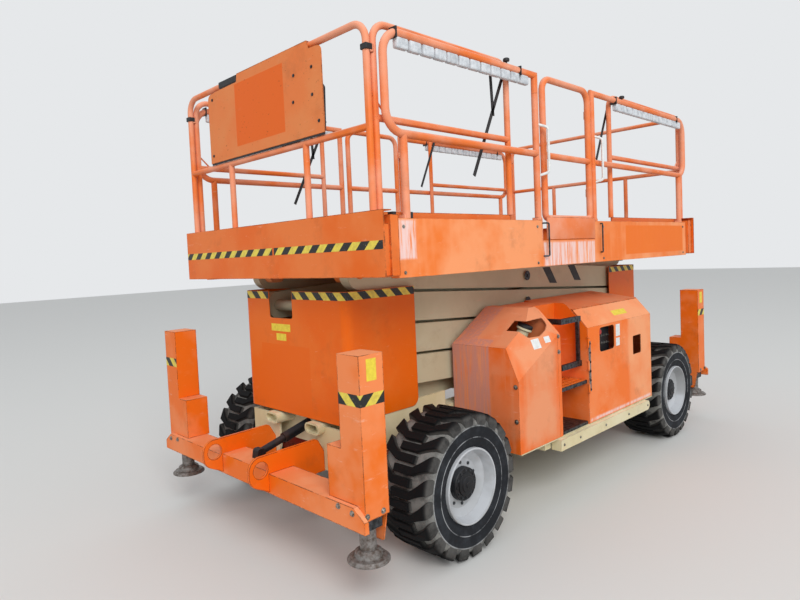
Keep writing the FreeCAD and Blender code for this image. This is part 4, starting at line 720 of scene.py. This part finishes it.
def tape(name, path, low, high, body, finish):
    """Upright strip on the outside of a path that runs with the machine on its left."""
    columns = []
    for i, here in enumerate(path):
        along = (Vector(path[min(i + 1, len(path) - 1)]) - Vector(path[max(i - 1, 0)])).normalized()
        out = Vector((along.y, -along.x))
        inner, outer = Vector(here) + out * 0.0003, Vector(here) + out * 0.0009
        columns.append([(p.x, p.y, z) for p, z in ((inner, low), (outer, low), (outer, high), (inner, high))])
    work = bmesh.new()
    skin(work, columns)
    return piece(name, work, body, finish)


def cover_bend(side, start, steps=8):
    """Points on a front cover's upright bend seen from above, a quarter turn from start in degrees."""
    angles = [math.radians(start + 90 * i / steps) for i in range(steps + 1)]
    return [(COVER_CORNER - COVER_X + COVER_CORNER * math.cos(a),
             side * (COVER_Y - COVER_CORNER) + COVER_CORNER * math.sin(a)) for a in angles]


for label, path in (
        ("left", [(-COVER_X, -0.024)] + cover_bend(-1, 180) + [(-COVER_BACK - 0.002, -COVER_Y)]),
        ("right", [(-COVER_BACK - 0.002, COVER_Y)] + cover_bend(1, 90) + [(-COVER_X, 0.254)])):
    tape(f"cover_tape_front_{label}", path, 1.571, 1.622, "root", COVER_TAPE)
    tape(f"cover_tape_rear_{label}", [(-x, y) for x, y in reversed(path)], 1.571, 1.622, "root", COVER_TAPE)
for sx, end in ENDS:
    for sy, label in SIDES:
        path = [(sx * LEG_X1, sy * LEG_Y0), (sx * LEG_X1, sy * LEG_Y1), (sx * LEG_X0, sy * LEG_Y1)]
        tape(f"leg_tape_{end}_{label}", path[::sx * sy], 1.080, 1.142, "root", LEG_TAPE)
    for label, y0, y1 in (("left", -1.090, -0.085), ("right", -0.067, 1.096)):
        path = [(sx * END_BOARD_X, y0), (sx * END_BOARD_X, y1)]
        tape(f"board_tape_extension_{end}_{label}", path[::sx], 1.868, 1.914, f"extension_{end}", BOARD_TAPE)

# %% [markdown]
# Signs are left as blank vinyl of the right size and colour, because only their shape belongs here.

# %% Blank labels


def face_label(wall, a0, a1, z0, z1, facing):
    """Rectangle on a wall that faces along X or Y."""
    corners = ((a0, z0), (a1, z0), (a1, z1), (a0, z1))
    return [(wall, a, z) if facing[0] else (a, wall, z) for a, z in corners], facing


sheets("cover_labels", [face_label(-COVER_X, 0.011, 0.233, 1.350, 1.400, (-1, 0, 0)),
                        face_label(-COVER_X, 0.063, 0.178, 1.286, 1.334, (-1, 0, 0))], "root", LABEL_YELLOW)
sheets("leg_labels", [face_label(side * LEG_Y1, x0, x1, 1.205, 1.318, (0, side, 0))
                      for x0, x1 in ((-2.340, -2.272), (2.272, 2.340)) for side, _ in SIDES],
       "root", LABEL_YELLOW)
for side, label in SIDES:
    foot = Vector((0, side * 1.120, 1.220))
    slope = Vector((0, -side * 0.120, 0.135)).normalized()
    sheets(f"door_labels_{label}", [face_label(foot.y, 0.366, 0.436, 1.100, 1.196, (0, side, 0)),
                                    face_label(foot.y, 0.366, 0.430, 1.022, 1.086, (0, side, 0))],
           f"door_{label}", WHITE_PLASTIC)
    strip = [foot + slope * d + Vector((x, 0, 0)) for x, d in ((0.42, 0.055), (0.66, 0.055), (0.66, 0.105),
                                                               (0.42, 0.105))]
    sheets(f"slope_label_{label}", [(strip, (0, side * 120, 135))], f"door_{label}", LABEL_YELLOW)

# %% [markdown]
# Small pieces must touch what they are bolted to. A ray is sent at the frame, and the place and the
# slope where it lands say where the piece sits and which way it faces.

# %% Find the place on the frame
INWARD, REARWARD, DOWNWARD = (0, 1, 0), (1, 0, 0), (0, 0, -1)


def ray_tree(source):
    """What rays can be sent at: an object's faces."""
    verts = [source.matrix_world @ v.co for v in source.data.vertices]
    return BVHTree.FromPolygons(verts, [tuple(f.vertices) for f in source.data.polygons])


TREES = {node: ray_tree(source) for node, source in NODES.items()}


def landing(start, way, names=None):
    """Nearest (node, point, normal) that a ray meets; names limits the nodes."""
    start, way = Vector(start), Vector(way).normalized()
    best = None
    for node in names or TREES:
        point, normal, _, distance = TREES[node].ray_cast(start, way)
        if point is not None and (best is None or distance < best[3]):
            best = (node, point, -normal if normal.dot(way) > 0 else normal, distance)
    return best[:3]


def bolted(name, shape, rays, finish):
    """Copies of a shape where each ray (start, way) lands, one piece for each body."""
    bodies = {}
    for start, way in rays:
        node, point, normal = landing(start, way)
        bodies.setdefault(BODY_OF[node], []).append((point, normal))
    for body, places in bodies.items():
        on_points(f"{name}_{body}", shape, places, body, finish)
    print(name, {body: len(places) for body, places in bodies.items()})


def with_mirrored(flip, rays):
    """Rays (start, way), and the same again mirrored by flip."""
    return [(Vector(a) * Vector(f), Vector(b) * Vector(f)) for f in ((1, 1, 1), flip) for a, b in rays]


both, ends = partial(with_mirrored, (1, -1, 1)), partial(with_mirrored, (-1, 1, 1))
bolted("leg_bolts", BOLT, ends(both([((-2.378, -1.3, 0.521), INWARD), ((-2.266, -1.3, 0.519), INWARD),
                                     ((-2.6, -0.930, 0.545), REARWARD), ((-2.6, -1.040, 0.535), REARWARD)])),
       BOLT_STEEL)
bolted("hood_bolts", BOLT, both([((-1.15, -1.098, 0.935), REARWARD), ((-1.15, -1.098, 0.705), REARWARD),
                                 ((-0.522, -1.3, 1.210), INWARD), ((-0.520, -1.3, 1.099), INWARD)]), BOLT_STEEL)
bolted("tray_bolts", SMALL_BOLT, both([((x, -1.3, 0.440), INWARD) for x in (-0.53, -0.30, 0.10, 0.50, 0.87)]),
       BOLT_STEEL)
bolted("deck_bolts", SMALL_BOLT, both([((x, -1.3, z), INWARD) for x in (-1.985, -0.66, 0.30, 1.96)
                                       for z in (1.735, 1.985)]), BOLT_STEEL)
bolted("board_rivets", SMALL_BOLT, [((-2.4, y, z), REARWARD) for y, z in (
    (-0.377, 2.926), (-0.553, 2.934), (-0.549, 2.778), (-0.362, 2.772), (0.60, 2.99), (0.62, 2.60),
    (-0.60, 2.62))], DARK_STEEL)

# %% [markdown]
# Black stripes on the highest arm warn of the closing stack, and round caps hold its pins.

# %% Arm stripes and pin caps
for side, label in SIDES:
    sheets(f"arm_stripes_{label}", [([(x + lean, side * 0.535, z) for lean, z in (
        (0.0, 1.672), (0.120, 1.672), (0.232, 1.524), (0.112, 1.532))], (0, side, 0)) for x in (0.255, 0.680)],
        "outer_arms_4", BLACK_PLASTIC)
PIN_CAP = turned_shape("pin_cap", (((0.040, 0.0), (0.040, 0.004), (0.036, 0.006)), 24),
                       (((0.012, 0.006), (0.012, 0.012), (0.010, 0.013)), 6))
bolted("pin_caps", PIN_CAP, both([((-0.003, -0.56, 0.9725 + 0.215 * k), INWARD) for k in range(4)]), DARK_STEEL)

# %% [markdown]
# The platform's trim: soft pads hang in a row under each top rail, bent bars serve as handles beside
# the gates, and black struts brace the sliding rails.

# %% Pads, handles and braces
RAIL_Y, SLIDE_Y = 1.046, 0.992                # the rails' middle lines, on the deck and on the sliding decks
PAD_ROWS = ((-1.925, 12), (0.640, 13))        # first pad and count
HANDLES = (                   # name, y at the rail and at the grip, bar and bend radii, finish, places
    ("gate_handles", 1.060, 1.106, 0.0095, 0.030, WHITE_PLASTIC,
     ((-0.600, -0.548, 2.690, 2.670, 2.360, 2.340), (0.204, 0.246, 2.690, 2.670, 2.350, 2.335))),
    ("step_handles", 1.066, 1.098, 0.006, 0.012, DARK_STEEL,
     ((-0.588, -0.560, 2.010, 2.010, 1.780, 1.780), (0.260, 0.232, 2.010, 2.010, 1.785, 1.785))),
)
KNOB = ((0.006, 0.0), (0.006, 0.012), (0.020, 0.014), (0.022, 0.022), (0.020, 0.032), (0.012, 0.036),
        (0.0, 0.037))
pad = bmesh.new()
add_block(pad, (-0.0475, -0.018, 0.0), (0.0475, 0.018, 0.062), 0.010)
PAD = hidden_shape("rail_pad", pad)


def side_boxes(side, y, half, spans):
    """Boxes centred on a line along one side; each span is x, x, z, z."""
    return [((x0, side * y - half, z0), (x1, side * y + half, z1)) for x0, x1, z0, z1 in spans]


def strut(name, ends_xz, y, body):
    """Flat black bars between pairs of (x, z), on the inner face of the sliding rails."""
    work = bmesh.new()
    for (x0, z0), (x1, z1) in ends_xz:
        along = Vector((x1 - x0, 0, z1 - z0)).normalized() * 0.012
        across = Vector((along.z, 0, -along.x))
        a, b = Vector((x0, y, z0)), Vector((x1, y, z1))
        add_sheet(work, [a - along - across, b + along - across, b + along + across, a - along + across],
                  (0, -y, 0), 0.006, 0.0003)
    piece(name, work, body, BLACK_PLASTIC)


for side, label in SIDES:
    on_points(f"rail_pads_{label}", PAD, [((first + 0.107 * k, side * RAIL_Y, 2.9405), (0, 0, 1))
                                          for first, count in PAD_ROWS for k in range(count)],
              "platform", PAD_PLASTIC)
    blocks(f"pad_clips_{label}", side_boxes(side, RAIL_Y, 0.027, [
        (x - 0.060, x - 0.050, 2.990, 3.0505) for x in (-1.925, -0.748, 0.640, 1.924)]),
        "platform", BLACK_PLASTIC, 0.001)
    for name, near, far, radius, corner, finish, places in HANDLES:
        bent_bar(f"{name}_{label}", [[(x0, side * near, z0), (x1, side * far, z1), (x1, side * far, z2),
                                      (x0, side * near, z3)] for x0, x1, z0, z1, z2, z3 in places],
                 radius, corner, "platform", finish)
    strut(f"front_brace_{label}", [((-0.838, 3.060), (-1.212, 2.325)), ((-1.013, 3.060), (-0.993, 2.730))],
          side * 0.972, "extension_front")
    strut(f"rear_brace_{label}", [((0.665, 3.060), (0.421, 2.549))], side * 0.972, "extension_rear")
    blocks(f"ring_clamps_{label}", side_boxes(side, SLIDE_Y, 0.024, [(-2.154, -2.106, 2.915, 2.947)]),
           "extension_front", BLACK_PLASTIC, 0.004)
    for index, x in enumerate((-0.935, 0.736)):
        turned(f"rail_knob_{label}_{index}", KNOB, (x, side * RAIL_Y, 3.0465), (0, 0, 1), "platform",
               BLACK_PLASTIC)
    blocks(f"post_feet_{label}", side_boxes(side, RAIL_Y, 0.020, [(-2.062, -2.034, 2.0303, 2.066),
                                                                  (-1.930, -1.902, 2.0303, 2.066)]),
           "platform", BLACK_PLASTIC, 0.003)
blocks("ring_pad", [((-2.1525, 0.275, 3.050), (-2.1075, 0.510, 3.0925))], "extension_front",
       BLACK_PLASTIC, 0.004)
print("pads on each top rail:", sum(count for _, count in PAD_ROWS))

# %% [markdown]
# The platform's rails are round tube with soft bends. The frame has them as square tube along the same
# middle lines, so round stand-ins take their places, with their posts, clamps and gate hinges.

# %% Round rails
DECK_TUBE, SLIDE_TUBE = 0.0230, 0.0200        # radii
HINGE_X, HINGE_Y, HINGE_Z = 0.1635, 1.013, (2.250, 2.850)
X_AXIS, Y_AXIS = 0, 1
DECK_LOOPS = (                # ends, corner radii, and the two posts with their tops
    (-2.064, -0.610, (0.125, 0, 0, 0.125), ((-0.610, 2.90), (-1.935, 2.490))),
    (0.197, 2.055, (0, 0.125, 0.125, 0), ((0.197, 2.90), (1.930, 2.490))),
)


def add_loop(work, axis, at, u, v, bends, radius, steps=14, bend_steps=8):
    """Round tube round a rectangle of u by v that stands across an axis, at a distance along it.

    bends are the radii of its corners' middle lines, counted round from the two low ends.
    """
    path, rings, normal = [], [], Vector((axis == X_AXIS, axis == Y_AXIS, 0))
    corners = ((u[0], v[0], 1, 1), (u[1], v[0], -1, 1), (u[1], v[1], -1, -1), (u[0], v[1], 1, -1))
    for (cu, cv, turn_u, turn_v), bent, start in zip(corners, bends, (180, 270, 0, 90)):
        for k in range(bend_steps + 1 if bent else 1):
            angle = math.radians(start + 90 * k / bend_steps)
            point = [cu + bent * (turn_u + math.cos(angle)), cv + bent * (turn_v + math.sin(angle))]
            point.insert(axis, at)
            path.append(Vector(point))
    for i, here in enumerate(path):
        came, goes = (here - path[i - 1]).normalized(), (path[(i + 1) % len(path)] - here).normalized()
        along = (came + goes).normalized()
        rings.append(circle(here, normal, along.cross(normal) / along.dot(goes), radius, steps))
    skin(work, rings, closed=True)


def add_tube(work, start, end, radius, steps=14):
    """Straight round tube."""
    add_bar(work, [Vector(start), Vector(end)], radius, steps)


def add_box_y(work, side, low, high, bevel=0.001):
    """Block whose y range is given from the middle plane outwards on one side."""
    (x0, y0, z0), (x1, y1, z1) = low, high
    near, far = sorted((side * y0, side * y1))
    add_block(work, (x0, near, z0), (x1, far, z1), bevel)


def stand_in(name, work, node, finish):
    """Piece that takes the place of one of the frame's nodes."""
    made = piece(name, work, BODY_OF[node], finish, smooth=True)
    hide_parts(node)
    return made


work = bmesh.new()
for side, label in SIDES:
    y = side * RAIL_Y
    for x0, x1, bends, posts in DECK_LOOPS:
        add_loop(work, Y_AXIS, y, (x0, x1), (2.490, 3.025), bends, DECK_TUBE)
        for x, top in posts:
            add_tube(work, (x, y, 2.031), (x, y, top), DECK_TUBE)
            add_box_y(work, side, (x - 0.031, 1.017, 1.850), (x + 0.031, 1.062, 2.050), 0.002)
    for z in HINGE_Z:
        add_tube(work, (HINGE_X, side * HINGE_Y, z - 0.038), (HINGE_X, side * HINGE_Y, z + 0.038), 0.004)
        for low in (z - 0.038, z + 0.031):
            add_box_y(work, side, (0.1565, 1.006, low), (0.185, 1.034, low + 0.007), 0.0005)
stand_in("round_deck_rails", work, "deck_rails", RAILS)
for side, label in SIDES:
    y, work = side * RAIL_Y, bmesh.new()
    add_loop(work, Y_AXIS, y, (-0.515, 0.130), (2.047, 3.025), (0.035, 0.035, 0.090, 0.090), DECK_TUBE)
    add_tube(work, (-0.515, y, 2.490), (0.130, y, 2.490), DECK_TUBE)
    add_box_y(work, side, (-0.540, 1.0665, 1.896), (0.155, 1.0745, 2.052))
    for z in HINGE_Z:
        add_lathe(work, ((0.0045, -0.030), (0.0070, -0.030), (0.0070, 0.030), (0.0045, 0.030)),
                  (HINGE_X, side * HINGE_Y, z), (0, 0, 1), 16, hollow=True)
        add_box_y(work, side, (0.140, 1.010, z - 0.030), (0.1585, 1.030, z + 0.030))
    stand_in(f"round_gate_{label}", work, f"gate_{label}", RAILS)
for (flip, end), inner, ring_low in zip(ENDS, (0.870, 0.600), (2.520, 2.550)):
    ring_x, bends, work = flip * 2.130, (0, 0, 0.1, 0.1), bmesh.new()
    add_loop(work, X_AXIS, ring_x, (-0.990, 0.990), (ring_low, 3.070), bends, SLIDE_TUBE)
    near, far = sorted((flip * 2.095, flip * 2.125))
    for side, label in SIDES:
        y = side * SLIDE_Y
        add_loop(work, Y_AXIS, y, sorted((flip * inner, flip * 2.085)), (2.570, 3.070), bends, SLIDE_TUBE)
        add_box_y(work, side, (near, 0.972, 2.905), (far, 1.012, 2.945), 0.002)
        add_tube(work, (flip * 2.120, y, 2.700), (flip * 1.985, y, 2.572), 0.006, 10)
    stand_in(f"round_slide_rails_{end}", work, f"extension_rails_{end}", RAILS)
    work = bmesh.new()
    for y in (-0.990, -0.430, 0.430, 0.990):
        add_tube(work, (ring_x, y, 2.072), (ring_x, y, ring_low), SLIDE_TUBE)
    for side, label in SIDES:
        for x in (flip * 2.085, flip * inner):
            add_tube(work, (x, side * SLIDE_Y, 2.068), (x, side * SLIDE_Y, 2.570), SLIDE_TUBE)
    stand_in(f"round_slide_posts_{end}", work, f"extension_posts_{end}", RAILS)
print("rail tubes", 2000 * DECK_TUBE, "and", 2000 * SLIDE_TUBE, "mm across")

# %% [markdown]
# A flat board closes the front end frame. Its upper edge runs below the rail at both ends, and over
# it in the middle, where it is folded back. The driver's control box stands behind it, clear of its end.

# %% Board and control box
BOARD_X, BOARD_LOW = -2.156, 2.548
FOLD_Y0, FOLD_Y1 = -0.512, 0.262
BOX_Y0, BOX_Y1 = -0.405, -0.100
upper = bend([(BOARD_X, -0.645, BOARD_LOW), (BOARD_X, -0.645, 3.040), (BOARD_X, -0.530, 3.045)], 0.045)
upper += [Vector((BOARD_X, FOLD_Y0, 3.092)), Vector((BOARD_X, FOLD_Y1, 3.092)), Vector((BOARD_X, 0.270, 3.042))]
upper += bend([(BOARD_X, 0.520, 3.040), (BOARD_X, 0.662, 3.030), (BOARD_X, 0.662, BOARD_LOW)], 0.050)
work = bmesh.new()
add_sheet(work, upper, (1, 0, 0), 0.006)
add_block(work, (BOARD_X, FOLD_Y0, 3.090), (-2.112, FOLD_Y1, 3.094), 0.001)
stand_in("round_cornered_board", work, "control_panel", BOARD)
blocks("board_seam", [((-2.1535, -0.640, BOARD_LOW - 0.012), (-2.1465, 0.655, BOARD_LOW))], "extension_front",
       BLACK_PLASTIC, 0.001)
case_outline = ((-2.106, 2.620), (-1.945, 2.620), (-1.936, 2.890), (-2.010, 2.970), (-2.106, 2.975))
work = bmesh.new()
add_sheet(work, [(x, BOX_Y0, z) for x, z in case_outline], (0, 1, 0), BOX_Y1 - BOX_Y0)
bmesh.ops.bevel(work, geom=list(work.edges), offset=0.006, segments=2, affect="EDGES", profile=0.5)
add_block(work, (-2.112, BOX_Y0 + 0.060, 2.535), (-2.100, BOX_Y1 - 0.060, 2.940), 0.001)
TREES["driver_box"] = ray_tree(stand_in("driver_box", work, "control_box", BLACK_PLASTIC))
print("board from", BOARD_LOW, "m up, box", round(BOX_Y1 - BOX_Y0, 3), "m wide")

# %% [markdown]
# The platform control box carries a lever, an emergency stop and a row of switches on the face that
# the driver looks at. The ground controls behind the left door's window get an emergency stop and switches of
# the same shapes.

# %% Controls
STOP = ((0.010, 0.0), (0.010, 0.010), (0.021, 0.011), (0.022, 0.018), (0.018, 0.024), (0.0, 0.026))
LEVER = ((0.018, 0.0), (0.014, 0.012), (0.006, 0.020), (0.005, 0.070), (0.014, 0.078), (0.015, 0.100),
         (0.010, 0.110), (0.0, 0.112))
SWITCH = turned_shape("toggle_switch", (((0.008, 0.0), (0.008, 0.004), (0.004, 0.006), (0.003, 0.020),
                                         (0.004, 0.024), (0.0, 0.026)), 12))


def on_driver_box(y, z):
    """Point and normal where the driver's look from behind and above lands on the box."""
    return landing((-1.6, y, z), (-1.0, 0.0, -0.75), ["driver_box"])[1:]


def on_ground_box(x, z):
    """Point and normal on the face of the ground controls."""
    return landing((x, -1.3, z), INWARD, ["ground_controls"])[1:]


for label, y, profile, finish in (("stop", -0.15, STOP, RED_PLASTIC), ("lever", -0.31, LEVER, BLACK_PLASTIC)):
    turned(f"driver_{label}", profile, *on_driver_box(y, 3.23), "extension_front", finish, 20)
on_points("driver_switches", SWITCH, [on_driver_box(y, z) for y in (-0.20, -0.23, -0.26) for z in (3.25, 3.22)],
          "extension_front", BOLT_STEEL)
stop = on_ground_box(0.150, 1.160)[0] + Vector((0, 0.010, 0))
turned("ground_stop", STOP, stop, (0, -1, 0), "root", RED_PLASTIC, 20)
on_points("ground_switches", SWITCH, [on_ground_box(x, z) for x in (0.20, 0.24, 0.28, 0.32)
                                      for z in (1.06, 1.12)], "root", BOLT_STEEL)
print("ground stop at", [round(c, 3) for c in stop])

# %% [markdown]
# The fuel filler gets its black cap, the doors their hinge strip, and the steps their raised collars,
# which let mud fall through and keep a boot from slipping. A faded plate lies on each hood's corner.

# %% Filler cap, hinge strips, steps and hood plates
FILLER_MOUTH, FILLER_FOOT = Vector((-0.680, -0.950, 1.280)), Vector((-0.720, -0.895, 1.120))
HOOD_PLATES = ((-0.70, -1.0, 1.13, 0.075, 0.070), (-0.588, -1.02, 1.15, 0.055, 0.045))   # place, size
COLLAR = turned_shape("step_collar", (((0.0085, 0.0), (0.0085, 0.004), (0.0120, 0.004), (0.0145, 0.0)), 12))
CAP = ((0.050, 0.0), (0.056, 0.004), (0.056, 0.020), (0.050, 0.026), (0.020, 0.030), (0.0, 0.031))
turned("filler_cap", CAP, FILLER_MOUTH, FILLER_MOUTH - FILLER_FOOT, "root", BLACK_PLASTIC, 28)
for side, label in SIDES:
    y0, y1 = sorted((side * 1.104, side * 0.856))
    blocks(f"step_tread_{label}", [((-0.519, y0, 0.8252), (-0.111, y1, 0.8275))], "root", SHELTERED, 0.0008)
    grown(f"step_collars_{label}", ON_GRID, {"Shape": COLLAR, "Size X": 0.36, "Size Y": 0.20, "Count X": 8,
                                             "Count Y": 5, "Place": (-0.315, side * 0.980, 0.8273)},
          "root", SHELTERED)
    y0, y1 = sorted((side * 1.1203, side * 1.1262))
    blocks(f"hinge_strip_{label}", [((-0.092, y0, 0.735), (-0.066, y1, 1.118))], f"door_{label}",
           GREY_STEEL, 0.001)
    on_points(f"hinge_bolts_{label}", SMALL_BOLT, [((-0.079, side * 1.1260, 0.75 + 0.07 * k), (0, side, 0))
                                                   for k in range(6)], f"door_{label}", DARK_STEEL)
    for index, (x, y, z, wide, tall) in enumerate(HOOD_PLATES):
        way = Vector((0.5, -side * 0.8, -0.5))
        _, point, normal = landing(Vector((x, side * -y, z)) - way, way, ["tank_hoods"])
        flat = (Vector((1, 0, 0)) - normal * normal.x).normalized()
        rise = normal.cross(flat)
        corners = [point + flat * (a * wide / 2) + rise * (b * tall / 2)
                   for a, b in ((-1, -1), (1, -1), (1, 1), (-1, 1))]
        sheets(f"hood_plate_{label}_{index}", [(corners, normal)], "root", WHITE_PLASTIC)
print("collars on each step:", 8 * 5)

# %% [markdown]
# The deck floors are tread plate: low lozenges in rows that turn by a right angle from one to the next.

# %% Tread plate
LOZENGE_PITCH = 0.045
FLOOR_Y = 0.87                # half width of the floors
FLOORS = (                    # name, body, x range, and a height near the floor
    ("main", "platform", -1.95, 1.95, 1.850),
    ("front", "extension_front", -2.12, -0.90, 1.872),
    ("rear", "extension_rear", 0.63, 2.12, 1.872),
)
lozenge = bmesh.new()
points = [lozenge.verts.new(v) for v in ((-0.015, 0, 0), (0, -0.0045, 0), (0.015, 0, 0), (0, 0.0045, 0),
                                         (-0.006, 0, 0.0018), (0.006, 0, 0.0018))]
for face in ((0, 1, 4), (1, 2, 5), (2, 3, 5), (3, 0, 4), (1, 5, 4), (3, 4, 5), (3, 2, 1, 0)):
    lozenge.faces.new([points[k] for k in face])
LOZENGE = hidden_shape("tread_lozenge", lozenge)
for label, body, x0, x1, z in FLOORS:
    middle = (x0 + x1) / 2
    node, point, _ = landing((middle, 0.1, z + 0.05), DOWNWARD)
    sheets(f"floor_{label}", [([(x0, -FLOOR_Y, point.z), (x1, -FLOOR_Y, point.z), (x1, FLOOR_Y, point.z),
                                (x0, FLOOR_Y, point.z)], (0, 0, 1))], body, FLOOR_STEEL)
    grown(f"lozenges_{label}", ON_GRID, {
        "Shape": LOZENGE, "Size X": x1 - x0 - 0.04, "Size Y": 2 * FLOOR_Y - 0.04,
        "Count X": int((x1 - x0) / LOZENGE_PITCH), "Count Y": int(2 * FLOOR_Y / LOZENGE_PITCH),
        "Place": (middle, 0.0, point.z + 0.0008)}, body, FLOOR_STEEL)
    print(label, "floor found on", node, "at z", round(point.z, 4))
